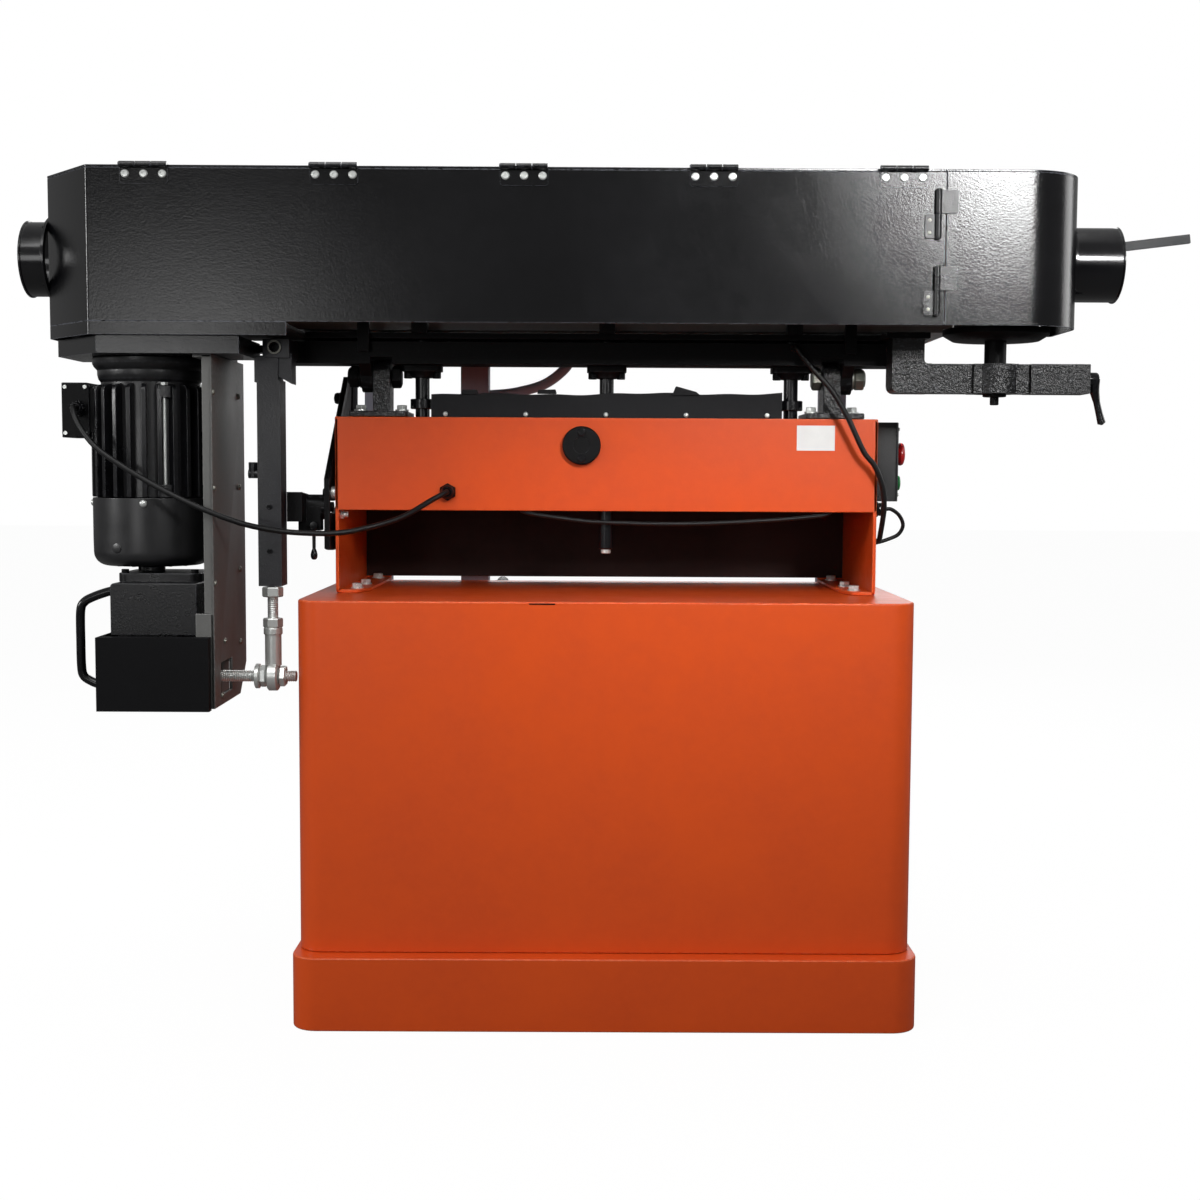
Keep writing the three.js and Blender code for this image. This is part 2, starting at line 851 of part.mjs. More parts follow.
function makePivotBolt(side) {
  return mirrored(side, () => {
    const washerStart = tiltLugOuter + seatGap;
    const headStart = washerStart + pivotWasherThick;
    return fuse([
      bar("x", pivotRadius, fixedLugInner - seatGap - pivotNutLength / 2, headStart + seatGap,
        tiltY, tiltZ, mediumSides),
      bar("x", pivotWasherRadius, washerStart, headStart + seatGap, tiltY, tiltZ, mediumSides),
      bar("x", pivotHeadRadius, headStart, headStart + pivotHeadLength, tiltY, tiltZ, 6),
      bar("x", pivotHeadRadius, fixedLugInner - runGap - pivotNutLength, fixedLugInner - runGap,
        tiltY, tiltZ, 6),
    ]);
  });
}

function makeQuadrant() {
  const back = tiltY - quadrantBackEdge;
  const topZ = tiltZ + quadrantTopRise;
  const outer = outline([
    [tiltY + quadrantTopNear, topZ],
    [back, tiltZ - quadrantShoulder],
  ]);
  const startAngle = 180 + Math.acos(quadrantBackEdge / quadrantRadius) / toRadians;
  const edge = arc(tiltY, tiltZ, quadrantRadius, startAngle, 360, 12);
  const top = [new THREE.Vector2(tiltY + quadrantRadius, topZ)];
  const half = quadrantSlotWidth / 2;
  const slot = [
    ...arc(tiltY, tiltZ, quadrantSlotRadius + half, quadrantSlotFrom, quadrantSlotTo, 12),
    ...arc(tiltY, tiltZ, quadrantSlotRadius - half, quadrantSlotTo, quadrantSlotFrom, 12),
  ];
  const face = -quadrantOuter + quadrantThick;
  const plate = prism([...outer, ...edge, ...top], "x", -quadrantOuter, face, [slot]);
  const innerBand = quadrantSlotRadius - half - quadrantSpacerRadius - runGap;
  const outerBand = quadrantSlotRadius + half + quadrantSpacerRadius + runGap;
  const spacers = [[innerBand, 263], [innerBand, 322], [outerBand, 300], [outerBand, 336]].map(
    ([radius, angle]) => {
      const across = tiltY + radius * Math.cos(angle * toRadians);
      const height = tiltZ + radius * Math.sin(angle * toRadians);
      return bar("x", quadrantSpacerRadius, -quadrantOuter + quadrantThick / 2, -frameSide - seatGap,
        across, height);
    },
  );
  return fuse([plate, ...spacers]);
}

function makeFlap() {
  const near = -frameRear + frameSheet + seatGap;
  const bottom = frameTop - flapBottomDrop;
  const top = frameTop + flapHeight - overrun;
  const crest = outline([
    [-flapLeft, bottom],
    [flapRight, bottom],
    [flapRight, top, flapThick],
    [flapRight / 2, top + flapThick, flapThick],
    [0, top - flapThick, flapThick],
    [-flapLeft, top - flapThick - overrun],
  ], 3);
  return prism(crest, "y", near, near + flapThick);
}

for (const [side, word] of [[-1, "left"], [1, "right"]]) {
  piece(base, `pivot_bracket_${word}`, castIron, makeBracket(side), side * fixedLugInner, tiltY, bracketBottom);
}
piece(base, "quadrant_plate", blackCoat, makeQuadrant(), -quadrantOuter, tiltY, tiltZ);
piece(base, "dust_flap", blackRubber, makeFlap(), 0, -frameRear, frameTop);

// Table lift on the cabinet's front

const liftRear = cabinetFront + seatGap;
const columnHalf = liftColumnSize / 2;
const guideHalf = guideColumnSize / 2;
const liftPlateBottom = liftPlateTop - liftPlateHeight;
const pinionNear = columnY - pinionLength / 2;
const pinionFar = columnY + pinionLength / 2;
const caseFar = columnY + columnHalf + runGap + sleeveWall;

function sleeveAt(place, half) {
  const outer = half + runGap + sleeveWall;
  return block(place - outer, place + outer, liftRear, columnY + outer, liftPlateBottom, liftPlateTop);
}

function sleeveBore(place, half) {
  const room = half + runGap;
  return block(place - room, place + room, columnY - room, columnY + room,
    liftPlateBottom - overrun, liftPlateTop + overrun);
}

function makeLiftFrame() {
  const plate = block(-liftPlateLength / 2, liftPlateLength / 2, liftRear, liftRear + liftPlateThick,
    liftPlateBottom, liftPlateTop);
  const ribs = [liftPlateTop - liftPlateThick, liftPlateBottom].map((height) => block(
    -liftPlateLength / 2, liftPlateLength / 2, liftRear, liftRear + liftPlateThick + sleeveWall * 2,
    height, height + liftPlateThick,
  ));
  const room = pinionRadius + toothHeight;
  const caseHalf = room + pinionCaseWall;
  const pinionCase = block(pinionX - caseHalf, pinionX + caseHalf, liftRear, caseFar,
    pinionHeight - caseHalf, pinionHeight + caseHalf);
  const hollow = bar("y", room, pinionNear - runGap, pinionFar + runGap, pinionX, pinionHeight, wheelSides);
  const shaftBore = bar("y", wheelShaftRadius + boreGap, liftRear + liftPlateThick / 2, caseFar + overrun,
    pinionX, pinionHeight);
  return cut(
    fuse([
      plate,
      ...ribs,
      pinionCase,
      sleeveAt(liftColumnPlace, columnHalf),
      sleeveAt(-guideColumnPlace, guideHalf),
      sleeveAt(guideColumnPlace, guideHalf),
    ]),
    [
      sleeveBore(liftColumnPlace, columnHalf),
      sleeveBore(-guideColumnPlace, guideHalf),
      sleeveBore(guideColumnPlace, guideHalf),
      hollow,
      shaftBore,
    ],
  );
}

// The pinion, with straight-sided teeth that run in the rack with play
function pinionOutline() {
  const points = [];
  const root = pinionRadius - toothHeight / 2;
  const tip = pinionRadius + toothHeight / 2 - runGap;
  for (let tooth = 0; tooth < pinionTeeth; tooth += 1) {
    const middle = Math.PI + (tooth + 0.5) * 2 * Math.PI / pinionTeeth;
    const corners = [[root, -toothThick], [tip, -toothTip], [tip, toothTip], [root, toothThick]];
    corners.forEach(([radius, width]) => {
      const angle = middle + width / 2 / radius;
      points.push(new THREE.Vector2(radius * Math.cos(angle), radius * Math.sin(angle)));
    });
  }
  return points.map((point) => point.add(new THREE.Vector2(pinionX, pinionHeight)));
}

function makeHandwheel() {
  const hubNear = caseFar + runGap;
  const rimY = hubNear + wheelShaftReach;
  const rim = turned("y", circle(wheelRimRadius, rimY, wheelRimTube, 6).map((point) => [point.x, point.y]),
    pinionX, pinionHeight);
  const hub = bar("y", wheelHubRadius, hubNear, hubNear + wheelHubLength, pinionX, pinionHeight, 16);
  const shaft = bar("y", wheelShaftRadius, liftRear + liftPlateThick / 2 + seatGap, hubNear + seatGap,
    pinionX, pinionHeight);
  const spokes = Array.from({ length: wheelSpokes }, (_, place) => {
    const spoke = new THREE.BoxGeometry(wheelRimRadius, wheelSpokeThick, wheelSpokeWidth);
    spoke.translate(wheelRimRadius / 2, 0, 0);
    spoke.rotateZ(Math.atan2(rimY - hubNear - wheelHubLength / 2, wheelRimRadius));
    spoke.rotateY((place + 0.25) * 2 * Math.PI / wheelSpokes);
    spoke.translate(pinionX, hubNear + wheelHubLength / 2, pinionHeight);
    return solidOf(spoke);
  });
  const grip = bar("y", wheelGripRadius, rimY, rimY + wheelGripLength, pinionX,
    pinionHeight + wheelRimRadius, 12, wheelGripRadius + portLip);
  const pinion = prism(pinionOutline(), "y", pinionNear, pinionFar);
  return fuse([shaft, pinion, hub, ...spokes, rim, grip]);
}

piece(base, "lift_frame", castIron, makeLiftFrame(), 0, liftRear, liftPlateBottom);
const wheelGroup = groupAt(base, pinionX, columnY, pinionHeight);
piece(wheelGroup, "handwheel", blackCoat, makeHandwheel(), pinionX, columnY, pinionHeight);

// Work table with its columns

function makeTable() {
  const half = tableLength / 2;
  const slab = block(-half, half, -tableRear, tableFront, tableUnder, tableTop);
  const ribBottom = tableUnder - tableRibDepth;
  const ribEnd = half - tableRibStart;
  const ribShape = outline([
    [-ribEnd, tableUnder + tableThick / 2],
    [-ribEnd, ribBottom + tableRibTaper / 2],
    [-ribEnd + tableRibTaper, ribBottom],
    [ribEnd - tableRibTaper, ribBottom],
    [ribEnd, ribBottom + tableRibTaper / 2],
    [ribEnd, tableUnder + tableThick / 2],
  ]);
  const rearRib = -tableRear + tableRibSetback;
  const rib = prism(ribShape, "y", rearRib, rearRib + tableRibThick);
  const shallow = (near) => block(-ribEnd, ribEnd, near, near + tableRibThick,
    tableUnder - tableCrossRibDepth, tableUnder + tableThick / 2);
  const crossRibs = Array.from({ length: tableCrossRibs }, (_, place) => {
    const x = -ribEnd + (2 * ribEnd - tableRibThick) * place / (tableCrossRibs - 1);
    return block(x, x + tableRibThick, rearRib, tableFront - tableRibThick,
      tableUnder - tableCrossRibDepth, tableUnder + tableThick / 2);
  });
  return fuse([slab, rib, shallow(tableFront - 2 * tableRibThick), ...crossRibs]);
}

function makeGuideColumn(side) {
  const x = side * guideColumnPlace;
  return cut(block(x - guideHalf, x + guideHalf, columnY - guideHalf, columnY + guideHalf,
    columnBottom, tableUnder - seatGap), [tableRibRoom()]);
}

// The room that the table's ribs take, with a seat's gap all round
function tableRibRoom() {
  const bottom = tableUnder - tableCrossRibDepth - seatGap;
  const ribEnd = tableLength / 2 - tableRibStart;
  const tools = Array.from({ length: tableCrossRibs }, (_, place) => {
    const x = -ribEnd + (2 * ribEnd - tableRibThick) * place / (tableCrossRibs - 1);
    return block(x - seatGap, x + tableRibThick + seatGap, -tableRear, tableFront + overrun,
      bottom, tableUnder + overrun);
  });
  tools.push(block(-ribEnd, ribEnd, tableFront - 2 * tableRibThick - seatGap, tableFront + overrun,
    bottom, tableUnder + overrun));
  return fuse(tools);
}

function makeLiftColumn() {
  const left = liftColumnPlace - columnHalf;
  const right = liftColumnPlace + columnHalf;
  const valleys = [];
  const firstTooth = -Math.ceil(tableTravel / pinionPitch) - 2;
  const tipHalf = (pinionPitch - toothTip) / 2;
  const rootHalf = (pinionPitch - toothThick * 1.4) / 2;
  for (let tooth = firstTooth; tooth < 2; tooth += 1) {
    const middle = pinionHeight + (tooth + 0.5) * pinionPitch;
    valleys.push(prism(outline([
      [right + overrun, middle - tipHalf - overrun / 4],
      [right + overrun, middle + tipHalf + overrun / 4],
      [right, middle + tipHalf],
      [right - toothHeight, middle + rootHalf],
      [right - toothHeight, middle - rootHalf],
      [right, middle - tipHalf],
    ]), "y", columnY - columnHalf - overrun, columnY + columnHalf + overrun));
  }
  const body = block(left, right, columnY - columnHalf, columnY + columnHalf,
    columnBottom, tableUnder - seatGap);
  return cut(body, [fuse(valleys), tableRibRoom()]);
}

function makeBrace() {
  const startX = liftColumnPlace + columnHalf + seatGap;
  const topX = startX + braceReach;
  const endZ = tableUnder - seatGap;
  const lowZ = endZ - tableCrossRibDepth - braceDrop;
  return bent([
    [startX, columnY, lowZ - braceRadius / 2],
    [startX + braceRadius, columnY, lowZ - braceRadius / 2],
    [startX + braceReach / 3, columnY, lowZ],
    [startX + braceReach * 0.7, columnY, lowZ + braceDrop / 3],
    [topX - braceRadius / 2, columnY, lowZ + braceDrop],
    [topX, columnY, endZ - braceRadius],
    [topX, columnY, endZ],
  ], braceRadius, 12, 8);
}

piece(table, "work_table", machinedIron, makeTable(), 0, columnY, tableTop);
for (const [side, word] of [[-1, "left"], [1, "right"]]) {
  piece(table, `guide_column_${word}`, greyPaint, makeGuideColumn(side),
    side * guideColumnPlace, columnY, tableUnder);
}
piece(table, "lift_column", greyPaint, makeLiftColumn(), liftColumnPlace, columnY, tableUnder);
piece(table, "table_brace", greyPaint, makeBrace(), liftColumnPlace, columnY, tableUnder);

// Cradle

const postPlaces = [[-1, "left"], [0, "middle"], [1, "right"]];

function makeBeam() {
  const rear = -beamRear;
  const front = -beamFront;
  const channel = cut(block(-beamLeft, beamRight, rear, front, beamBottom, beamTop), [
    block(-beamLeft - overrun, beamRight + overrun, rear + beamSheet, front + overrun,
      beamBottom + beamSheet, beamTop - beamSheet),
  ]);
  const tabTop = beamTop - beamTabDrop;
  const tab = block(-beamLeft - beamTabLength, -beamLeft + beamSheet, rear, rear + beamTabDepth,
    tabTop - beamTabThick, tabTop);
  const lugs = [-1, 1].map((side) => mirrored(side, () => fuse([
    prism([
      ...arc(tiltY, tiltZ, tiltLugRadius, 180, 360, 8),
      new THREE.Vector2(tiltY + tiltLugRadius, beamBottom + beamSheet / 2),
      new THREE.Vector2(rear + beamSheet / 2, beamBottom + beamSheet / 2),
    ], "x", tiltLugInner, tiltLugOuter),
    block(tiltLugInner, tiltLugOuter, rear - earThick, rear + beamSheet / 2, beamBottom + earLift, beamTop),
    block(tiltLugInner, tiltLugOuter, rear - earThick, rear - seatGap, beamBottom + earLift, beamTop + earRise),
  ])));
  const holes = postPlaces.map(([side]) => bar(
    "z", bushingRadius + boreGap, beamBottom - overrun, beamTop + overrun,
    side * postSpacing, tiltY, mediumSides,
  ));
  const pivots = [-1, 1].map((side) => mirrored(side, () => bar(
    "x", pivotRadius + boreGap, tiltLugInner - overrun, tiltLugOuter + overrun, tiltY, tiltZ, mediumSides,
  )));
  const reliefs = [-1, 1].map((side) => mirrored(side, () => block(
    fixedLugInner - overrun, tiltLugInner - seatGap, rear - overrun, front + overrun,
    beamBottom - overrun, tiltZ + lugRadius + runGap * 2,
  )));
  const gland = bar("y", beamGlandRadius, rear - glandHexThick, rear + beamSheet / 2,
    postSpacing, beamTop - beamTabDrop);
  return cut(fuse([channel, tab, ...lugs, gland]), [...holes, ...pivots, ...reliefs]);
}

function makeBushing(side) {
  const x = side * postSpacing;
  const padTop = beamBottom - seatGap;
  const padBottom = padTop - bushingPadThick;
  const neckBottom = padTop - bushingNeck;
  const pad = prism(outline([
    [x - bushingPadHalf, tiltY - bushingPadDepth, bushingPadThick],
    [x + bushingPadHalf, tiltY - bushingPadDepth, bushingPadThick],
    [x + bushingPadHalf, tiltY + bushingPadDepth, bushingPadThick],
    [x - bushingPadHalf, tiltY + bushingPadDepth, bushingPadThick],
  ], 2), "z", padBottom, padTop);
  const body = turned("z", [
    [0, neckBottom],
    [bushingRadius, neckBottom],
    [bushingRadius + bushingNeckSpread, padBottom + seatGap],
    [bushingRadius, padTop - seatGap],
    [bushingRadius, beamTop + seatGap],
    [0, beamTop + seatGap],
  ], x, tiltY, smallSides + 4);
  const screws = [-1, 1].map((end) => bar(
    "z", bushingScrewRadius, padBottom - bushingScrewLength, padBottom + seatGap,
    x + end * bushingScrewSpacing, tiltY, 6,
  ));
  const bore = bar("z", postRadius + boreGap, neckBottom - overrun, beamTop + overrun, x, tiltY, mediumSides);
  return cut(fuse([pad, body, ...screws]), [bore]);
}

const linkLeft = -linkRight - linkWidth;
const linkNear = -linkFace - linkDepth;
const blockBottom = linkTop - linkCapShift;

function makeLinkPost() {
  const lower = block(linkLeft, -linkRight, linkNear, -linkFace, linkBottom, linkSplit);
  const upper = block(linkLeft - linkCapShift, -linkRight - linkCapShift, linkNear, -linkFace,
    linkSplit - linkCapShift, linkTop);
  const blockLeft = linkLeft + linkCapShift * 3;
  const blockTop = linkTop + linkBlockHeight;
  const top = block(blockLeft, blockLeft + linkBlockWidth, -linkBlockFar, -beamRear - seatGap,
    blockBottom, blockTop);
  const sidePlate = prism(outline([
    [-linkRight - linkCapShift * 2, linkTop + linkCapShift],
    [-linkRight - linkCapShift * 2, linkTop - linkSideRise + linkSideBevel],
    [-linkRight - linkCapShift + linkSideThick, linkTop - linkSideRise],
    [-linkRight - linkCapShift + linkSideThick, linkTop + linkCapShift],
  ]), "y", linkNear + linkCapShift, -linkFace - linkCapShift);
  const tubeX = blockLeft + linkBlockWidth * 0.45;
  const tubeZ = blockTop - linkTubeRadius - linkCapShift / 2;
  const tube = bar("y", linkTubeRadius, -linkBlockFar - linkCapShift, -linkBlockFar + linkCapShift,
    tubeX, tubeZ);
  const tubeHole = bar("y", linkTubeBore, -linkBlockFar - overrun, -linkBlockFar + linkDepth / 2,
    tubeX, tubeZ);
  const hook = bar("x", linkHookRadius, linkLeft - linkHookReach, linkLeft + linkCapShift,
    (linkNear - linkFace) / 2, linkHookHeight, 12);
  const knob = bar("z", linkHookRadius, linkHookHeight - linkHookRadius, linkHookHeight + linkHookReach,
    linkLeft - linkHookReach + linkHookRadius, (linkNear - linkFace) / 2, 12);
  return cut(fuse([lower, upper, top, sidePlate, tube, hook, knob]), [tubeHole]);
}

const slotY = tiltY + quadrantSlotRadius * Math.cos(265 * toRadians);
const slotZ = tiltZ + quadrantSlotRadius * Math.sin(265 * toRadians);

function makeTiltArm() {
  const low = slotZ - armHeight / 2;
  const high = slotZ + armHeight / 2;
  const bossEnd = -quadrantOuter - runGap;
  const strap = prism(outline([
    [-linkFace + seatGap, high + armHeight / 3],
    [-linkFace + seatGap, low - armHeight / 4],
    [slotY, slotZ - armBossRadius],
    [slotY, slotZ + armBossRadius],
  ]), "x", -linkRight, -armInner);
  const boss = bar("x", armBossRadius, -linkRight, bossEnd, slotY, slotZ, mediumSides);
  const bolt = bar("x", armBoltRadius, bossEnd - seatGap, -frameSide - quadrantStandoff + runGap * 3,
    slotY, slotZ);
  const clamp = block(-armInner - armBossLength / 4, bossEnd - armBossLength / 8, slotY - armBossRadius,
    slotY + armBossRadius / 2, slotZ - armBossRadius - armClampHeight / 2, slotZ);
  return fuse([strap, boss, bolt, clamp]);
}

const tiltLeverX = -armInner + armBossLength / 4;
const tiltLeverZ = slotZ - armBossRadius - armClampHeight / 4;
const tiltLeverY = slotY - armBossRadius - seatGap;

function makeTiltLever() {
  const hub = bar("y", tiltLeverHub, tiltLeverY - tiltLeverHub * 1.6, tiltLeverY, tiltLeverX, tiltLeverZ, 8);
  const stem = bar("z", tiltLeverRadius, tiltLeverZ - tiltLeverLength, tiltLeverZ,
    tiltLeverX, tiltLeverY - tiltLeverHub, 8);
  const knob = turned("z", [
    [0, tiltLeverZ - tiltLeverLength - tiltLeverHub],
    [tiltLeverRadius * 1.5, tiltLeverZ - tiltLeverLength - tiltLeverHub],
    [tiltLeverRadius * 2, tiltLeverZ - tiltLeverLength],
    [0, tiltLeverZ - tiltLeverLength + tiltLeverHub],
  ], tiltLeverX, tiltLeverY - tiltLeverHub, 8);
  return fuse([hub, stem, knob]);
}

function makeRodEnd() {
  const x = -rodEyePlace;
  const nutTop = linkBottom - seatGap;
  const eyeTop = rodEyeHeight + rodEyeRadius;
  const lowerNutBottom = eyeTop + rodLowerNutLength;
  const eye = cut(fuse([
    bar("x", rodEyeRadius, x - rodEyeWidth / 2, x + rodEyeWidth / 2, studY, rodEyeHeight, 20),
    bar("z", rodShankRadius, rodEyeHeight + rodEyeRadius * 0.7, lowerNutBottom + seatGap, x, studY),
    bar("z", rodNutRadius, lowerNutBottom, lowerNutBottom + rodLowerNutLength, x, studY, 6),
    bar("z", rodRadius, lowerNutBottom, nutTop, x, studY),
    bar("z", rodNutRadius, nutTop - rodNutLength, nutTop, x, studY, 6),
  ]), [
    bar("x", studRadius + boreGap, x - rodEyeWidth, x + rodEyeWidth, studY, rodEyeHeight, mediumSides),
  ]);
  return eye;
}

function makeStud() {
  const x = -rodEyePlace;
  const eyeLeft = x - rodEyeWidth / 2 - seatGap;
  const eyeRight = x + rodEyeWidth / 2 + seatGap;
  const nut = (from, to) => bar("x", studNutRadius, from, to, studY, rodEyeHeight, 6);
  return fuse([
    bar("x", studRadius, -studOuter, -studInner, studY, rodEyeHeight),
    nut(eyeLeft - studNutLength, eyeLeft),
    nut(eyeRight, eyeRight + studNutLength),
    nut(-studOuter + studNutLength, -studOuter + 2 * studNutLength),
    bar("x", studFlangeRadius, eyeLeft - studNutLength * 1.6, eyeLeft - studNutLength * 0.9,
      studY, rodEyeHeight, mediumSides),
  ]);
}

piece(cradle, "cradle_beam", blackCoat, makeBeam(), 0, tiltY, tiltZ);
for (const [side, word] of [[-1, "left"], [1, "right"]]) {
  piece(cradle, `pivot_bolt_${word}`, zincSteel, makePivotBolt(side), side * tiltLugInner, tiltY, tiltZ);
}
for (const [side, word] of postPlaces) {
  piece(cradle, `guide_bushing_${word}`, castIron, makeBushing(side), side * postSpacing, tiltY, beamBottom);
}
piece(cradle, "link_post", blackCoat, makeLinkPost(), linkLeft, linkNear, linkTop);
piece(cradle, "tilt_arm", blackCoat, makeTiltArm(), -armInner, slotY, slotZ);
const tiltLeverGroup = groupAt(cradle, tiltLeverX, tiltLeverY, tiltLeverZ);
piece(tiltLeverGroup, "tilt_lever", glossBlack, makeTiltLever(), tiltLeverX, tiltLeverY, tiltLeverZ);
piece(cradle, "rod_end", zincSteel, makeRodEnd(), -rodEyePlace, studY, rodEyeHeight);
piece(cradle, "crank_stud", zincSteel, makeStud(), -rodEyePlace, studY, rodEyeHeight);

// Head plate, posts, cover and tray

function makeHeadPlate() {
  const inset = coverSheet + seatGap;
  const plan = outline([
    [-coverLeft + coverChamferX + inset, -coverRear + inset],
    [-plateWide, -coverRear + inset],
    [-plateWide, -beamRear],
    [plateStep, -beamRear],
    [plateStep, -idlerArmNear],
    [plateRight, -idlerArmNear],
    [plateRight, -plateFront],
    [-coverReturnEnd + seatGap, -plateFront],
    [-coverReturnEnd + seatGap, -coverFrontEdge - inset],
    [-coverLeft + inset, -coverFrontEdge - inset],
    [-coverLeft + inset, -coverRear + coverChamferY + inset],
  ]);
  const holes = [
    circle(driveX, driveY, trayShaftHole, mediumSides),
    ...postPlaces.map(([side]) => circle(side * postSpacing, tiltY, postRadius + boreGap, mediumSides)),
  ];
  return prism(plan, "z", plateBottom, plateTop, holes);
}

function makePost(side) {
  const x = side * postSpacing;
  const bottom = side === 0 ? middlePostBottom : outerPostBottom;
  return fuse([
    bar("z", postRadius, bottom, plateTop, x, tiltY, mediumSides),
    bar("z", collarRadius, collarBottom, collarBottom + collarHeight, x, tiltY, mediumSides),
    bar("z", postRadius * 0.7, bottom - overrun, bottom + seatGap, x, tiltY, 8),
  ]);
}

// The cover's plan, from its right end round the left end to the front return
function coverPath(inset, end) {
  return [
    [end, -coverRear + inset],
    [-coverLeft + coverChamferX, -coverRear + inset],
    [-coverLeft + inset, -coverRear + coverChamferY],
    [-coverLeft + inset, -coverFrontEdge - inset],
    [-coverReturnEnd, -coverFrontEdge - inset],
  ];
}

const hingePlaces = Array.from({ length: lidHinges }, (_, place) => lidHingeFirst + lidHingePitch * place);

function makeCover() {
  const wall = prism(ribbon(coverPath(0, coverRight).reverse(), coverSheet), "z", coverBottom, coverTop);
  const skirt = prism(ribbon(coverPath(0, -coverDropEnd).reverse(), coverSheet), "z",
    coverDropBottom, coverBottom + overrun);
  const third = lidHingeLength / 3;
  const leaves = hingePlaces.map((x) => block(
    x - lidHingeLength / 2, x + lidHingeLength / 2, -coverRear - leafThick, -coverRear + leafThick / 2,
    coverTop - leafHeight, coverTop,
  ));
  const knuckles = hingePlaces.flatMap((x) => [-1, 1].map((end) => bar(
    "x", knuckleRadius,
    x + end * third - third / 2 + (end > 0 ? runGap : 0),
    x + end * third + third / 2 - (end < 0 ? runGap : 0),
    lidAxisY, lidAxisZ, knuckleSides,
  )));
  const seats = hingePlaces.flatMap((x) => [-1, 1].map((end) => block(
    x + end * third - third / 2 + (end > 0 ? runGap : 0),
    x + end * third + third / 2 - (end < 0 ? runGap : 0),
    -coverRear - leafThick, -coverRear - seatGap, coverTop - leafThick, lidAxisZ,
  )));
  const doorThird = doorHingeLength / 3;
  const doorLeaves = [doorHingeLower, doorHingeUpper].map((z) => block(
    coverRight - doorLeafWidth, coverRight, -coverRear - leafThick, -coverRear + leafThick / 2,
    z, z + doorHingeLength,
  ));
  const doorKnuckles = [doorHingeLower, doorHingeUpper].flatMap((z) => [0, 2].map((step) => bar(
    "z", knuckleRadius, z + step * doorThird + (step ? runGap : 0),
    z + (step + 1) * doorThird - (step ? 0 : runGap), doorAxisX, doorAxisY, knuckleSides,
  )));
  const doorRooms = [doorHingeLower, doorHingeUpper].map((z) => block(
    doorAxisX - knuckleRadius - runGap, coverRight + overrun, -coverRear - overrun, -coverRear - seatGap,
    z + doorThird - runGap / 2, z + 2 * doorThird + runGap / 2,
  ));
  const rearHinges = [...leaves, ...seats, ...knuckles, cut(fuse(doorLeaves), doorRooms), ...doorKnuckles];
  return cut(fuse([wall, skirt, ...rearHinges]), [
    bar("x", portRadius - portWall, -coverLeft - overrun, -coverLeft + overrun, portY, portZ, wheelSides),
  ]);
}

// A round dust port: a tube with a flange at its foot and a rolled lip
function portProfile(foot, end) {
  const way = Math.sign(end - foot);
  return [
    [portRadius - portWall, foot],
    [portFlangeRadius, foot],
    [portFlangeRadius, foot + way * portFlangeThick],
    [portRadius, foot + way * portFlangeThick],
    [portRadius + portLip, end],
    [portRadius - portWall, end],
  ];
}

function makeLeftPort() {
  const foot = -coverLeft - seatGap;
  return turned("x", portProfile(foot, foot - leftPortLength), portY, portZ);
}

function makeTray() {
  const near = -coverRear + trayInset;
  const left = -coverLeft + trayInset;
  const far = -coverFrontEdge - trayInset;
  const plan = (inset) => outline([
    [left + coverChamferX + inset / 2, near + inset],
    [-trayRight - inset, near + inset],
    [-trayRight - inset, -trayNotchY - inset],
    [-trayNotchX - inset, -trayNotchY - inset],
    [-trayNotchX - inset, far - inset],
    [left + inset, far - inset],
    [left + inset, near + coverChamferY + inset / 2],
  ]);
  const top = trayBottom + trayHeight;
  return cut(prism(plan(0), "z", trayBottom, top), [
    prism(plan(traySheet), "z", trayBottom + trayFloor, top + overrun),
    bar("z", trayShaftHole, trayBottom - overrun, top, driveX, driveY, mediumSides),
  ]);
}

piece(head, "head_plate", blackCoat, makeHeadPlate(), 0, tiltY, plateTop);
for (const [side, word] of postPlaces) {
  piece(head, `guide_post_${word}`, blackCoat, makePost(side), side * postSpacing, tiltY, plateBottom);
}
piece(head, "rear_cover", blackCoat, makeCover(), 0, -coverRear, coverTop);
piece(head, "drive_tray", blackCoat, makeTray(), driveX, driveY, trayBottom);
piece(head, "dust_port_left", glossBlack, makeLeftPort(), -coverLeft, portY, portZ);

// Belt, platen, drums

function makeBelt() {
  const slant = Math.atan2(idlerY - driveY, idlerX - driveX) / toRadians;
  const loop = (extra) => [
    ...arc(driveX, driveY, driveRadius + extra, 90, 270 + 2 * slant, 18),
    ...arc(idlerX, idlerY, idlerRadius + extra, -90 + 2 * slant, 90, 18),
  ];
  return prism(loop(seatGap + beltThick), "z", beltBottom, beltTop, [loop(seatGap)]);
}

function makePlaten() {
  const face = beltOuterY - beltThick - 2 * seatGap;
  const back = face - platenPad - platenThick;
  const slab = prism(outline([
    [-platenLeft, back],
    [platenRight, back],
    [platenRight, face - platenPad],
    [platenRight - platenThick, face],
    [-platenLeft + platenThick, face],
    [-platenLeft, face - platenPad],
  ]), "z", beltBottom, beltTop);
  const ribs = [beltBottom, beltTop - platenThick].map((z) => block(
    -platenLeft + platenThick, platenRight - platenThick, back - platenRibDepth, back + platenPad,
    z, z + platenThick,
  ));
  const legs = postPlaces.map(([side]) => block(
    side * postSpacing - platenLegWidth / 2, side * postSpacing + platenLegWidth / 2,
    back - platenRibDepth, back + platenPad, plateTop + seatGap, beltTop,
  ));
  return fuse([slab, ...ribs, ...legs]);
}

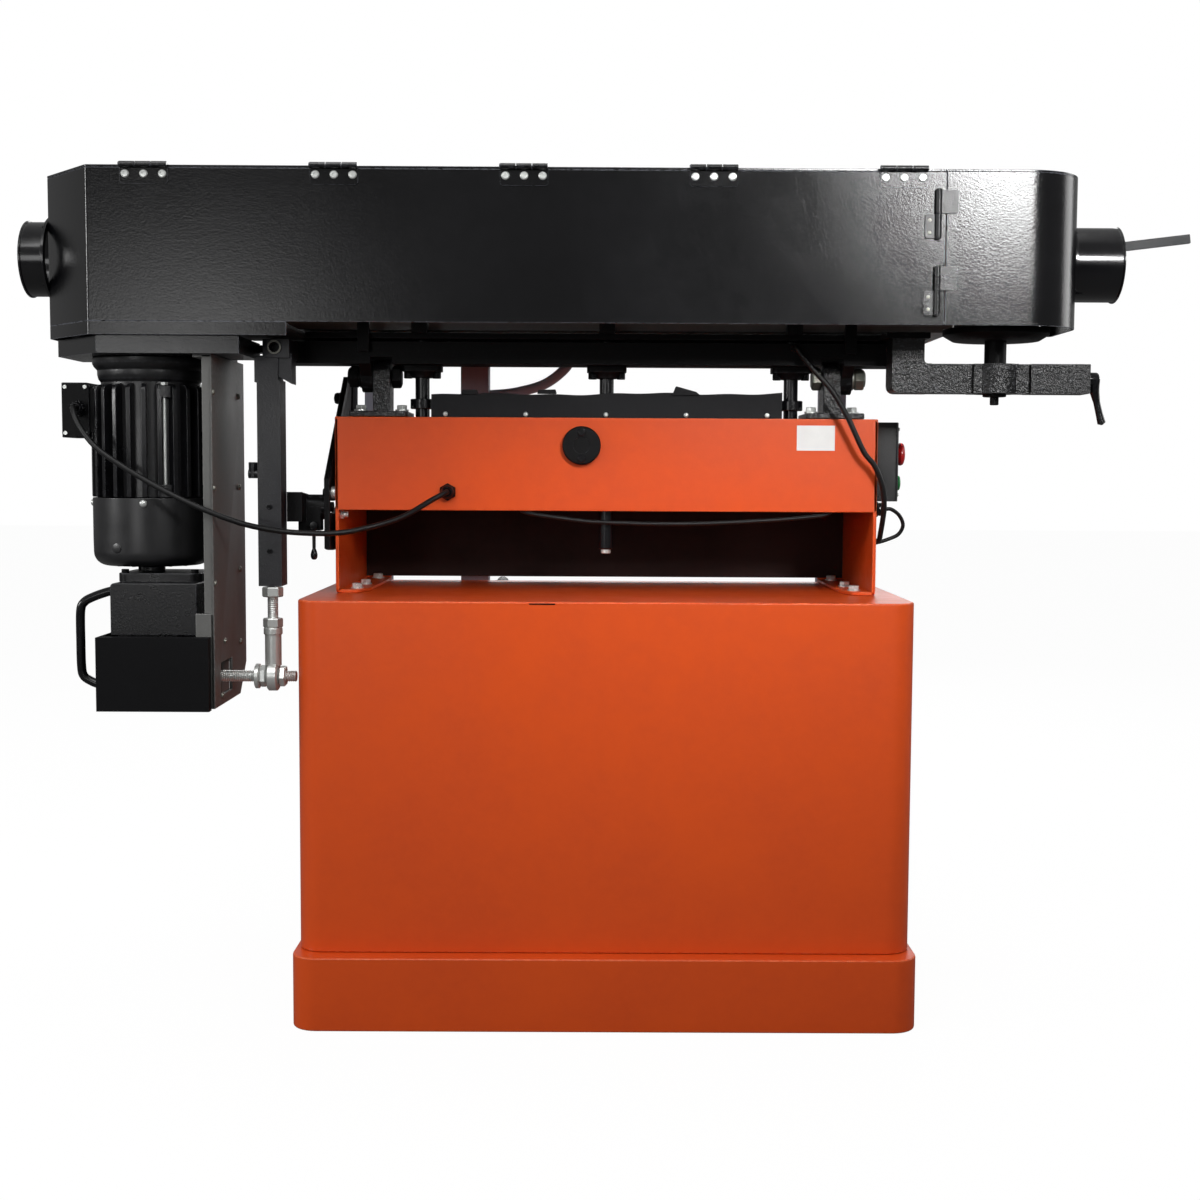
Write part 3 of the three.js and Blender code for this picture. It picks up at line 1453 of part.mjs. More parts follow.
function makeDrive() {
  const bottom = beltBottom - drumOverhang;
  const top = beltTop + drumOverhang;
  const drum = turned("z", [
    [0, bottom],
    [driveRadius, bottom],
    [driveRadius, top],
    [driveRadius - drumWall, top],
    [driveRadius - drumWall, bottom + drumWeb],
    [motorShaftRadius * 2, bottom + drumWeb],
    [0, bottom + 2 * drumWeb],
  ], driveX, driveY, drumSides);
  const shaft = bar("z", motorShaftRadius, gearTop - overrun, bottom + seatGap, driveX, driveY, 16);
  const rotor = bar("z", rotorRadius, rotorBottom, rotorBottom + rotorHeight, driveX, driveY, 20);
  const blades = Array.from({ length: fanBlades }, (_, place) => {
    const blade = new THREE.BoxGeometry(fanRadius, fanBladeThick, fanHeight);
    blade.translate(fanRadius / 2, 0, fanBottom + fanHeight / 2);
    blade.rotateZ(place * 2 * Math.PI / fanBlades);
    blade.translate(driveX, driveY, 0);
    return solidOf(blade);
  });
  return fuse([drum, shaft, rotor, ...blades]);
}

function makeIdlerDrum() {
  const bottom = beltBottom - drumOverhang;
  const top = beltTop + drumOverhang;
  const bore = idlerAxleRadius + boreGap;
  return turned("z", [
    [bore, bottom],
    [idlerRadius, bottom],
    [idlerRadius, top],
    [idlerRadius - drumWall, top],
    [idlerRadius - drumWall, bottom + drumWeb],
    [bore + drumWall, bottom + drumWeb],
    [bore, top - drumWeb],
  ], idlerX, idlerY, drumSides);
}

function makeCarriage() {
  const discTop = idlerDiscBottom + idlerDiscThick;
  const drumBottom = beltBottom - drumOverhang;
  const armFoot = idlerArmBottom - seatGap;
  return fuse([
    turned("z", [
      [0, idlerDiscBottom],
      [idlerDiscRadius - idlerDiscBevel, idlerDiscBottom],
      [idlerDiscRadius, discTop - idlerDiscThick / 3],
      [idlerDiscRadius, discTop],
      [0, discTop],
    ], idlerX, idlerY, drumSides),
    bar("z", idlerPinRadius, armFoot - seatGap, idlerDiscBottom + seatGap, idlerX, idlerY, wheelSides),
    bar("z", idlerPinRadius, discTop - seatGap, drumBottom - runGap, idlerX, idlerY),
    bar("z", idlerAxleRadius, drumBottom - 2 * runGap, beltTop + drumOverhang + seatGap, idlerX, idlerY),
    bar("z", idlerWasherRadius, armFoot - idlerWasherThick, armFoot, idlerX, idlerY, 20),
    bar("z", idlerBoltRadius, armFoot - idlerWasherThick - idlerBoltLength, armFoot - seatGap,
      idlerX, idlerY, 6),
  ]);
}

function makeIdlerArm() {
  const bottom = idlerArmBottom;
  const top = bottom + idlerArmHeight;
  const near = -idlerArmNear;
  const far = -idlerArmFar;
  const legRight = idlerArmLeft + idlerLegWidth;
  const elevation = outline([
    [idlerArmLeft, bottom, idlerArmCorner],
    [idlerArmRight, bottom],
    [idlerArmRight, top],
    [legRight, top, idlerArmCorner / 2],
    [legRight, plateBottom - seatGap],
    [idlerArmLeft, plateBottom - seatGap],
  ]);
  const side = prism(elevation, "y", near, far);
  const waist = [
    [near - overrun, near + idlerArmWaist],
    [far - idlerArmWaist, far + overrun],
  ].flatMap(([from, to]) => [
    block(legRight + idlerArmCorner, idlerX - idlerBossRadius, from, to, bottom - overrun, top + overrun),
    block(idlerX + idlerBossRadius - idlerArmWaist, idlerPadStart, from, to,
      bottom - overrun, top + overrun),
  ]);
  const boss = bar("z", idlerBossRadius, bottom, top, idlerX, idlerY, wheelSides);
  const slotHalf = idlerPinRadius + boreGap;
  const slot = fuse([
    bar("z", slotHalf, bottom - overrun, top + overrun, idlerX, idlerY, wheelSides),
    bar("z", slotHalf, bottom - overrun, top + overrun, idlerX - idlerTravel - seatGap, idlerY, wheelSides),
    block(idlerX - idlerTravel - seatGap, idlerX, idlerY - slotHalf, idlerY + slotHalf,
      bottom - overrun, top + overrun),
  ]);
  const middle = (near + far) / 2;
  const split = block(idlerArmRight - idlerSplitLength, idlerArmRight + overrun,
    middle - idlerSplit / 2, middle + idlerSplit / 2, bottom - overrun, top + overrun);
  return cut(fuse([cut(side, waist), boss]), [slot, split]);
}

const clampX = idlerArmRight + seatGap;
const clampY = (-idlerArmNear - idlerArmFar) / 2 - idlerSplit * 3;

function makeClampLever() {
  const hub = bar("x", clampHubRadius, clampX, clampX + clampHubLength, clampY, clampHeight, 12);
  const rootX = clampX + clampHubLength / 2;
  const stem = bent([
    [rootX, clampY, clampHeight],
    [rootX + clampLeverLean * 0.7, clampY, clampHeight - clampLeverDrop * 0.3],
    [rootX + clampLeverLean, clampY, clampHeight - clampLeverDrop],
  ], clampLeverRadius, 5);
  const knob = turned("z", [
    [0, clampHeight - clampLeverDrop - clampKnobRadius],
    [clampKnobRadius * 0.7, clampHeight - clampLeverDrop - clampKnobRadius * 0.7],
    [clampKnobRadius, clampHeight - clampLeverDrop],
    [clampKnobRadius * 0.7, clampHeight - clampLeverDrop + clampKnobRadius],
    [0, clampHeight - clampLeverDrop + clampKnobRadius * 2],
  ], rootX + clampLeverLean, clampY, 8);
  return fuse([hub, stem, knob]);
}

const tensionZ = beltTop + drumOverhang + runGap;

function makeTensionLever() {
  const barBottom = tensionZ + (tensionHubHeight - tensionBarWidth) / 2;
  const span = Math.hypot(tensionCrankX, tensionCrankY);
  const first = new THREE.BoxGeometry(span, tensionBarWidth, tensionBarWidth);
  first.translate(span / 2, 0, 0);
  first.rotateZ(Math.atan2(tensionCrankY, tensionCrankX));
  first.translate(idlerX, idlerY, barBottom + tensionBarWidth / 2);
  const cornerX = idlerX + tensionCrankX;
  const cornerY = idlerY + tensionCrankY;
  const drop = block(cornerX - tensionBarWidth / 2, cornerX + tensionBarWidth / 2,
    cornerY - tensionBarThick / 2, cornerY + tensionBarThick / 2,
    barBottom - tensionDrop, barBottom + tensionBarWidth);
  const arm = new THREE.BoxGeometry(tensionReach, tensionBarThick, tensionBarWidth);
  arm.translate(tensionReach / 2, 0, 0);
  arm.rotateY(-tensionRise * toRadians);
  arm.translate(cornerX - tensionBarWidth / 2, cornerY, barBottom - tensionDrop + tensionBarWidth / 2);
  const hub = bar("z", tensionHubRadius, tensionZ, tensionZ + tensionHubHeight, idlerX, idlerY, 20);
  return fuse([hub, solidOf(first), drop, solidOf(arm)]);
}

piece(head, "platen", castIron, makePlaten(), 0, beltOuterY, beltBottom);
piece(head, "sanding_belt", abrasive, makeBelt(), 0, driveY, beltBottom);
const driveGroup = groupAt(head, driveX, driveY, beltBottom);
piece(driveGroup, "drive_drum", castIron, makeDrive(), driveX, driveY, beltBottom);
piece(head, "idler_arm", castIron, makeIdlerArm(), idlerArmLeft, idlerY, idlerArmBottom);
const carriageGroup = groupAt(head, idlerX, idlerY, idlerDiscBottom);
piece(carriageGroup, "idler_carriage", castIron, makeCarriage(), idlerX, idlerY, idlerDiscBottom);
const idlerGroup = groupAt(carriageGroup, idlerX, idlerY, beltBottom);
piece(idlerGroup, "idler_drum", groundSteel, makeIdlerDrum(), idlerX, idlerY, beltBottom);
const clampGroup = groupAt(head, clampX, clampY, clampHeight);
piece(clampGroup, "arm_clamp_lever", glossBlack, makeClampLever(), clampX, clampY, clampHeight);
const tensionGroup = groupAt(carriageGroup, idlerX, idlerY, tensionZ);
piece(tensionGroup, "tension_lever", greyPaint, makeTensionLever(), idlerX, idlerY, tensionZ);

// Motor, gearbox and spine

function makeMotor() {
  const points = [];
  const ribTurn = 2 * Math.PI / motorRibs;
  for (let rib = 0; rib < motorRibs; rib += 1) {
    const steps = [[motorCore, -0.3], [motorRadius, -0.2], [motorRadius, 0.2], [motorCore, 0.3]];
    steps.forEach(([radius, share]) => {
      const angle = (rib + share) * ribTurn;
      points.push(new THREE.Vector2(driveX + radius * Math.cos(angle), driveY + radius * Math.sin(angle)));
    });
  }
  const stator = prism(points, "z", motorBottom + seatGap, motorRibTop + seatGap);
  const bell = turned("z", [
    [0, motorRibTop],
    [motorRadius - overrun, motorRibTop],
    [motorRadius - overrun * 1.2, (motorRibTop + motorTop) / 2],
    [motorRadius - overrun * 3, motorTop - overrun * 1.5],
    [motorRadius, motorTop - overrun * 1.5],
    [motorRadius, motorTop],
    [0, motorTop],
  ], driveX, driveY);
  return cut(fuse([stator, bell]), [
    bar("z", motorBore, motorBottom - overrun, motorTop - overrun, driveX, driveY, mediumSides),
    bar("z", motorShaftRadius + boreGap, motorBottom, motorTop + overrun, driveX, driveY, mediumSides),
  ]);
}

function makeCowl() {
  const outer = motorRadius - cowlInset;
  return turned("z", [
    [rotorRadius, cowlBottom],
    [outer - cowlFloor * 2, cowlBottom],
    [outer, cowlBottom + cowlFloor * 2],
    [outer, motorBottom],
    [outer - cowlWall, motorBottom],
    [outer - cowlWall, cowlBottom + cowlFloor * 2],
    [rotorRadius, cowlBottom + cowlWall * 2],
  ], driveX, driveY);
}

function makeJunction() {
  const glandFoot = -junctionNear + seatGap;
  const box = prism(outline([
    [-junctionLeft, -junctionNear, overrun],
    [-junctionLeft + junctionWidth, -junctionNear, overrun],
    [-junctionLeft + junctionWidth, -junctionFar],
    [-junctionLeft, -junctionFar, overrun],
  ], 3), "z", junctionBottom, junctionBottom + junctionHeight);
  const saddle = bar("z", motorRadius + seatGap, junctionBottom - overrun,
    junctionBottom + junctionHeight + overrun, driveX, driveY, 48);
  const gland = makeGland("y", glandFoot, -1, -junctionGlandPlace, junctionGlandHeight, glandReach + overrun);
  return fuse([cut(box, [saddle]), gland]);
}

function makeSpine() {
  const left = -spineLeft;
  const right = -spineRight;
  const near = -spineNear;
  const far = -spineFar;
  const top = trayBottom - seatGap;
  const web = prism(outline([
    [near, spineBottom],
    [far - spineChamfer, spineBottom],
    [far, spineBottom + spineChamfer],
    [far, top],
    [near, top],
  ]), "x", right - spineSheet, right);
  const flanges = fuse([
    block(left, right, near, near + spineSheet, spineBottom, top),
    block(left, right, far - spineSheet, far, spineBottom + spineChamfer, top),
    block(left, right, near, far, top - spineSheet, top),
  ]);
  const notch = block(left - overrun, right + overrun, -spineNotchNear, -spineNotchFar,
    rodEyeHeight - spineNotchHeight / 2, rodEyeHeight + spineNotchHeight / 2);
  const motorRoom = bar("z", motorRadius + runGap, spineBottom - overrun, top + overrun,
    driveX, driveY, wheelSides);
  return cut(fuse([web, flanges]), [notch, motorRoom]);
}

function makeGearbox() {
  const upper = prism(outline([
    [-gearLeft, gearBottom],
    [-gearRight, gearBottom],
    [-gearRight, gearTop, overrun],
    [-gearLeft, gearTop, overrun],
  ], 3), "y", -gearNear, -gearFar);
  const cap = bar("z", gearCapRadius, gearTop - seatGap, gearCapTop, driveX, driveY, wheelSides,
    gearCapRadius - overrun);
  const lower = block(-gearLowLeft, -gearLowRight, -gearLowNear, -gearLowFar,
    gearLowBottom, gearBottom + seatGap);
  const nose = bar("x", crankShaftRadius * 2, -gearLowRight - seatGap, -gearShaftEnd - crankThick / 2,
    studY, rodEyeHeight, mediumSides);
  const inputBore = bar("z", motorShaftRadius + boreGap, gearTop - 2 * overrun, gearCapTop + overrun,
    driveX, driveY, mediumSides);
  const outputBore = bar("x", crankShaftRadius + boreGap, -gearLowRight - crankShaftLength,
    -gearShaftEnd + overrun, studY, rodEyeHeight, mediumSides);
  return cut(fuse([upper, cap, lower, nose]), [inputBore, outputBore]);
}

function makeGearCover() {
  const left = -coverPanLeft;
  const right = -coverPanRight;
  const near = -coverPanNear;
  const far = -gearFar;
  const top = gearBottom - seatGap;
  const rear = near - rearPanDepth;
  const shell = cut(block(left, right, near, far, coverPanBottom, top), [
    block(left + coverPanSheet, right - coverPanSheet, near + coverPanSheet, far - coverPanSheet,
      coverPanBottom + coverPanSheet, top + overrun),
  ]);
  const pan = cut(block(left, -rearPanRight, rear, near - seatGap, coverPanBottom, top), [
    block(left + coverPanSheet, -rearPanRight - coverPanSheet, rear + coverPanSheet, near + overrun,
      coverPanBottom + coverPanSheet, top - coverPanSheet),
  ]);
  const joint = block(left, right, near - seatGap * 2, near + seatGap, coverPanBottom, top);
  const opening = block(left + coverPanSheet, right - coverPanSheet, near - overrun, near + overrun,
    coverPanBottom + coverPanSheet, top - coverPanSheet);
  const hole = bar("x", panHoleRadius + crankThrow, right - overrun, right + overrun, studY, rodEyeHeight, mediumSides);
  return cut(fuse([shell, pan, joint]), [opening, hole]);
}

function makeCrank() {
  const end = -studOuter - runGap;
  const discLeft = end - crankThick;
  const shaft = bar("x", crankShaftRadius, -gearLowRight - crankShaftLength + runGap, discLeft + seatGap,
    studY, rodEyeHeight, 12);
  const disc = bar("x", crankRadius, discLeft, end - crankThrow, studY, rodEyeHeight, 20);
  const pin = bar("x", studRadius, end - crankThrow - seatGap, end, studY - crankThrow, rodEyeHeight);
  return fuse([shaft, disc, pin]);
}

function makeHandle() {
  const topX = -gearLeft - seatGap;
  const lowX = -coverPanLeft - seatGap;
  const outX = topX - handleReach;
  return bent([
    [topX, handleY, handleTop],
    [outX + handleBend, handleY, handleTop],
    [outX + handleBend / 4, handleY, handleTop - handleBend / 4],
    [outX, handleY, handleTop - handleBend],
    [outX, handleY, handleBottom + handleBend],
    [outX + handleBend / 4, handleY, handleBottom + handleBend / 4],
    [outX + handleBend, handleY, handleBottom],
    [lowX, handleY, handleBottom],
  ], handleRadius, 15, 8, "centripetal");
}

piece(head, "motor_body", glossBlack, makeMotor(), driveX, driveY, motorBottom);
piece(head, "fan_cowl", glossBlack, makeCowl(), driveX, driveY, cowlBottom);
piece(head, "junction_box", blackCoat, makeJunction(), -junctionLeft, driveY, junctionBottom);
piece(head, "spine_column", blackCoat, makeSpine(), -spineRight, driveY, spineBottom);
piece(head, "gearbox_housing", castIron, makeGearbox(), driveX, driveY, gearTop);
piece(head, "gearbox_cover", blackCoat, makeGearCover(), driveX, driveY, coverPanBottom);
const crankGroup = groupAt(head, -studOuter, studY, rodEyeHeight);
piece(crankGroup, "crank_disc", zincSteel, makeCrank(), -studOuter, studY, rodEyeHeight);
piece(head, "pull_handle", blackCoat, makeHandle(), -gearLeft, handleY, handleTop);

// Lid and end door

function makeLid() {
  const over = seatGap;
  const plan = outline([
    [coverRight, -coverRear - over],
    [coverRight, -coverFrontEdge],
    [-coverLeft, -coverFrontEdge],
    [-coverLeft, -coverRear + coverChamferY],
    [-coverLeft + coverChamferX, -coverRear - over],
  ]);
  const third = lidHingeLength / 3;
  const plate = prism(plan, "z", lidBottom, lidBottom + lidThick);
  const clears = hingePlaces.flatMap((x) => [-1, 1].map((end) => block(
    x + end * third - third / 2 - runGap, x + end * third + third / 2 + runGap,
    -coverRear - overrun, -coverRear + knuckleRadius, lidBottom - overrun, lidBottom + overrun,
  )));
  const knuckles = hingePlaces.flatMap((x) => [
    bar("x", knuckleRadius, x - third / 2 + runGap / 2, x + third / 2 - runGap / 2,
      lidAxisY, lidAxisZ, knuckleSides),
    block(x - third / 2 + runGap / 2, x + third / 2 - runGap / 2, lidAxisY, -coverRear + leafHeight,
      lidBottom + lidThick / 2, lidBottom + lidThick + leafThick),
  ]);
  return cut(fuse([cut(plate, clears), ...knuckles]), [
    block(-coverLeft, coverRight, lidAxisY - overrun, -coverRear + overrun, coverBottom, coverTop + seatGap),
  ]);
}

function makeDoor() {
  const rearPath = outline([
    [doorLeft, -coverRear],
    [doorRight, -coverRear, doorCorner],
    [doorRight, -doorFrontEdge, doorFrontCorner],
    [doorRight - doorLip, -doorFrontEdge],
  ], 5);
  const path = rearPath.map((point) => [point.x, point.y]);
  const wall = prism(ribbon(path, coverSheet), "z", coverBottom, lidBottom + lidThick);
  const topPlan = outline([
    [doorLeft, -coverRear],
    [doorRight, -coverRear, doorCorner],
    [doorRight, -doorFrontEdge, doorFrontCorner],
    [doorLeft, -doorFrontEdge],
  ], 5);
  const top = prism(topPlan, "z", lidBottom, lidBottom + lidThick);
  const third = doorHingeLength / 3;
  const leaves = [doorHingeLower, doorHingeUpper].map((z) => block(
    doorLeft, doorLeft + doorLeafWidth, -coverRear - leafThick, -coverRear + leafThick / 2,
    z + third + runGap / 2, z + 2 * third - runGap / 2,
  ));
  const knuckles = [doorHingeLower, doorHingeUpper].map((z) => bar(
    "z", knuckleRadius, z + third + runGap / 2, z + 2 * third - runGap / 2,
    doorAxisX, doorAxisY, knuckleSides,
  ));
  const port = turned("x", portProfile(doorRight - seatGap, doorRight + rightPortLength), portY, portZ);
  const bore = bar("x", portRadius - portWall, doorRight - 2 * doorCorner, doorRight + overrun,
    portY, portZ, wheelSides);
  return cut(fuse([wall, top, ...leaves, ...knuckles, port]), [bore]);
}

const lidGroup = groupAt(head, 0, lidAxisY, lidAxisZ);
piece(lidGroup, "top_lid", blackCoat, makeLid(), 0, lidAxisY, lidAxisZ);
const doorGroup = groupAt(head, doorAxisX, doorAxisY, coverBottom);
piece(doorGroup, "end_door", blackCoat, makeDoor(), doorAxisX, doorAxisY, coverBottom);

// Cords

const motorCableRadius = 3.75;
const switchCableRadius = 2.75;
const innerCableRadius = 2.8;

const motorRoute = [
  [-712, -192.1, 832],
  [-712, -201, 831.8],
  [-705, -210, 815],
  [-688, -220, 792],
  [-663, -228, 770],
  [-601, -240, 733],
  [-540, -247, 703],
  [-489, -243, 683],
  [-458, -230, 674],
  [-422, -215, 668],
  [-371, -198, 666],
  [-333, -182, 671],
  [-282, -155, 686],
  [-244, -122, 709],
  [-223, -108, 721],
  [-223, -98.7, 721],
];
const headRoute = [
  [261.5, -104.4, 923.5],
  [261.5, -112, 923.3],
  [274, -114, 906],
  [290, -113, 888],
  [312, -112, 864],
  [334, -110, 829],
  [358, -106, 781],
  [375, -102, 760],
  [387, -95, 732],
  [392, -84, 704],
  [392, -72, 682],
  [391.5, -60, 665],
  [391, -54, 656],
  [387.5, -52, 653],
  [382.9, -52, 653],
];
const switchRoute = [
  [398.7, -50, 699],
  [408, -50, 699],
  [421, -43, 690],
  [427, -40, 676],
  [421, -38, 663],
  [407, -38, 656],
  [391, -38, 651],
  [382.5, -38, 651],
];
const innerRoute = [
  [-121, -73.5, 706],
  [-116, -72, 693],
  [-60, -70, 684],
  [-8, -70, 679],
  [106, -70, 677],
  [219, -70, 682],
  [300, -71, 689],
  [318, -72, 695],
  [322, -73.5, 706],
];

piece(head, "motor_cable", blackRubber, bent(motorRoute, motorCableRadius, 32), ...motorRoute[0]);
piece(base, "head_cable", blackRubber, bent(headRoute, motorCableRadius, 20), ...headRoute[0]);
piece(base, "switch_cable", blackRubber, bent(switchRoute, switchCableRadius, 10), ...switchRoute[0]);
piece(base, "inner_cable", blackRubber, bent(innerRoute, innerCableRadius, 26), ...innerRoute[0]);

export default sander;
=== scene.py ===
# %% [markdown]
# # An oscillating edge sander, seen from its rear
# A long belt runs round two drums in a black sheet-metal head. The head stands on
# three posts over an orange base, a motor hangs under one end, and a small gearbox
# below the motor rocks the whole head up and down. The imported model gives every
# piece its place, and this lesson gives each piece its real edges, screws and finish.

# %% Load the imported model
import math

import bmesh
import bpy
from mathutils import Matrix, Vector


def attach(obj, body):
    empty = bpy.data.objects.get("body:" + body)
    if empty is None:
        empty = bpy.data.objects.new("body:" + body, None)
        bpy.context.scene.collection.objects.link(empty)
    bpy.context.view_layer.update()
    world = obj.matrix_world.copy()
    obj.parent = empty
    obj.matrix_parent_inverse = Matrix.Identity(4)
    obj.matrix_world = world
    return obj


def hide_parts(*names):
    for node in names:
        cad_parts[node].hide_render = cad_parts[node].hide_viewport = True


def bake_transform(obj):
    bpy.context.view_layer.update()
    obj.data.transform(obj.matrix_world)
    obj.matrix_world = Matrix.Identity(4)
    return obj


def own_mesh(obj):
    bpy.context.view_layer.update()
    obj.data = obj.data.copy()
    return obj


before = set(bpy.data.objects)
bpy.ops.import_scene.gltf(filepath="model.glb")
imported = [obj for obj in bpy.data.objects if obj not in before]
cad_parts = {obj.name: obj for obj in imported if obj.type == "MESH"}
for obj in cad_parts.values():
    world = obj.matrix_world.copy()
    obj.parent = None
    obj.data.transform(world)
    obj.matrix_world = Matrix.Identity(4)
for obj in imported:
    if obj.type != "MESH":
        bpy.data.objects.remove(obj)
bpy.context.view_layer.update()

MM = 0.001


def into_scene(name, data):
    """A new object with this data, linked to the scene."""
    made = bpy.data.objects.new(name, data)
    bpy.context.scene.collection.objects.link(made)
    return made


# %% [markdown]
# ## The camera
# The photograph was taken from about two and a half metres behind the machine, a
# little lower than the head, with the camera tipped down. The lens is worked out
# from the way the sides run together, and the camera leans a third of a degree.

# %% Camera
LENS = 50.34
SENSOR = 36
CAMERA_PLACE = (-0.015, -2.452, 0.750)
TIPPED_DOWN = 4.36
TURNED_RIGHT = 0.17
LEAN = 0.30

camera_lens = bpy.data.cameras.new("rear_camera")
camera_lens.lens = LENS
camera_lens.sensor_width = SENSOR
camera = into_scene("rear_camera", camera_lens)
aim = (
    Matrix.Rotation(math.radians(-TURNED_RIGHT), 4, "Z")
    @ Matrix.Rotation(math.radians(90 - TIPPED_DOWN), 4, "X")
    @ Matrix.Rotation(math.radians(LEAN), 4, "Z")
)
camera.matrix_world = Matrix.Translation(CAMERA_PLACE) @ aim
bpy.context.scene.camera = camera
print("camera at", CAMERA_PLACE, "lens", LENS)

# %% [markdown]
# ## A small workshop of shapes
# Every shape here is a list of corners and a list of faces, in millimetres, in the
# machine's own frame. A sheet is an outline pushed along an axis, a shaft is a
# profile spun round one, and a cable is a circle drawn along a curve. Several
# shapes make one piece, and a bevel rounds its edges, as a press or a file would.

# %% Outlines
def on_circle(centre, radius, angle):
    """A point on a circle in a flat drawing; the angle is in radians."""
    return (centre[0] + radius * math.cos(angle), centre[1] + radius * math.sin(angle))


def arc(across, up, radius, start, end, steps):
    """Points of an arc in a flat drawing, from one angle to another in degrees."""
    angles = [math.radians(start + (end - start) * step / steps) for step in range(steps + 1)]
    return [on_circle((across, up), radius, angle) for angle in angles]


def circle(across, up, radius, sides=48):
    return arc(across, up, radius, 0, 360, sides)[:-1]


def rounded(corners, steps=8):
    """An outline from corners (a, b) or (a, b, radius)."""
    points = []
    for place, corner in enumerate(corners):
        here = Vector(corner[:2])
        radius = corner[2] if len(corner) > 2 else 0
        if not radius:
            points.append(tuple(here))
            continue
        back = (Vector(corners[place - 1][:2]) - here).normalized()
        ahead = (Vector(corners[(place + 1) % len(corners)][:2]) - here).normalized()
        half = back.angle(ahead) / 2
        centre = here + (back + ahead).normalized() * (radius / math.sin(half))
        first = here + back * (radius / math.tan(half)) - centre
        last = here + ahead * (radius / math.tan(half)) - centre
        turn = math.atan2(first.x * last.y - first.y * last.x, first.dot(last))
        for step in range(steps + 1):
            spoke = first.copy()
            spoke.rotate(Matrix.Rotation(turn * step / steps, 2))
            points.append(tuple(centre + spoke))
    return points


def plate_round(left, right, near, far, radius, steps=8):
    """An upright rectangle whose four corners have the same radius."""
    corners = ((left, near), (right, near), (right, far), (left, far))
    return rounded([(*corner, radius) for corner in corners], steps)


def ribbon(path, thickness):
    """A closed outline round an open path, the thickness to its left."""
    points = [Vector(p) for p in path]
    shifted = []
    for place, point in enumerate(points):
        before = points[max(place - 1, 0)]
        after = points[min(place + 1, len(points) - 1)]
        arriving = (point - before).normalized() if place else (after - point).normalized()
        leaving = (after - point).normalized() if place < len(points) - 1 else arriving
        side = Vector((-arriving.y - leaving.y, arriving.x + leaving.x))
        shifted.append(point + side * (2 * thickness / side.length_squared))
    return [tuple(p) for p in points] + [tuple(p) for p in reversed(shifted)]


print("outline of a rounded plate has", len(plate_round(0, 10, 0, 10, 2)), "points")

# %% Solids
def laid(axis, across, up, along):
    """A point of a flat drawing and its place along an axis, as X, Y and Z."""
    if axis == "x":
        return (along, across, up)
    if axis == "y":
        return (across, along, up)
    return (across, up, along)


def skinned(rings, closed=False):
    """Faces between rings that have the same number of points."""
    count = len(rings[0])
    corners = [point for ring in rings for point in ring]
    faces = []
    spans = len(rings) if closed else len(rings) - 1
    for ring in range(spans):
        low = ring * count
        high = (ring + 1) % len(rings) * count
        for place in range(count):
            ahead = (place + 1) % count
            faces.append((low + place, low + ahead, high + ahead, high + place))
    if not closed:
        faces.append(tuple(range(count - 1, -1, -1)))
        faces.append(tuple(range(len(corners) - count, len(corners))))
    return corners, faces


def push(points, axis, start, end):
    """An outline pushed along an axis."""
    return skinned([[laid(axis, a, b, place) for a, b in points] for place in (start, end)])


def slab(x0, x1, y0, y1, z0, z1):
    return push([(x0, y0), (x1, y0), (x1, y1), (x0, y1)], "z", z0, z1)


def spin(axis, profile, across, up, sides=48, closed=False):
    """A profile of (radius, place along the axis), spun round the axis."""
    rings = []
    for radius, along in profile:
        ring = circle(across, up, max(radius, 0.01), sides)
        rings.append([laid(axis, a, b, along) for a, b in ring])
    return skinned(rings, closed=closed)


def rod(axis, radius, start, end, across, up, sides=40):
    return spin(axis, [(radius, start), (radius, end)], across, up, sides)


def hexagon(axis, radius, start, end, across, up, turn=0):
    """A nut or bolt head whose corners are turned down at both ends."""
    soften = radius * 0.12
    rings = []
    for share, along in ((0.9, start), (1, start + soften), (1, end - soften), (0.9, end)):
        ring = arc(across, up, radius * share, turn, turn + 360, 6)[:-1]
        rings.append([laid(axis, a, b, along) for a, b in ring])
    return skinned(rings)


def threaded(axis, radius, start, end, across, up, pitch=2.0):
    """A rod with the ridges of a thread."""
    turns = max(int((end - start) / pitch), 1)
    step = (end - start) / turns
    profile = []
    for turn in range(turns):
        profile.append((radius * 0.9, start + step * turn))
        profile.append((radius, start + step * (turn + 0.5)))
    profile.append((radius * 0.9, end))
    return spin(axis, profile, across, up, 28)


def socket_screw(axis, foot, way, across, up, radius=5, height=5, dome=0.0):
    """A screw head that stands out from its foot, with a six-sided recess."""
    sides, sixth, half_sixth = 24, math.radians(60), math.radians(30)
    top = foot + way * height
    recess = []
    for place in range(sides):
        angle = math.radians(360 * place / sides)
        flat = math.cos(half_sixth) / math.cos(angle % sixth - half_sixth)
        recess.append(on_circle((across, up), radius * 0.52 * flat, angle))
    rings = []
    for share, along in ((1, foot), (1, top - way * dome), (0.82, top)):
        rings.append([laid(axis, a, b, along) for a, b in circle(across, up, radius * share, sides)])
    for along in (top, top - way * height * 0.6):
        rings.append([laid(axis, a, b, along) for a, b in recess])
    return skinned(rings)


KNOT_STEPS = 12


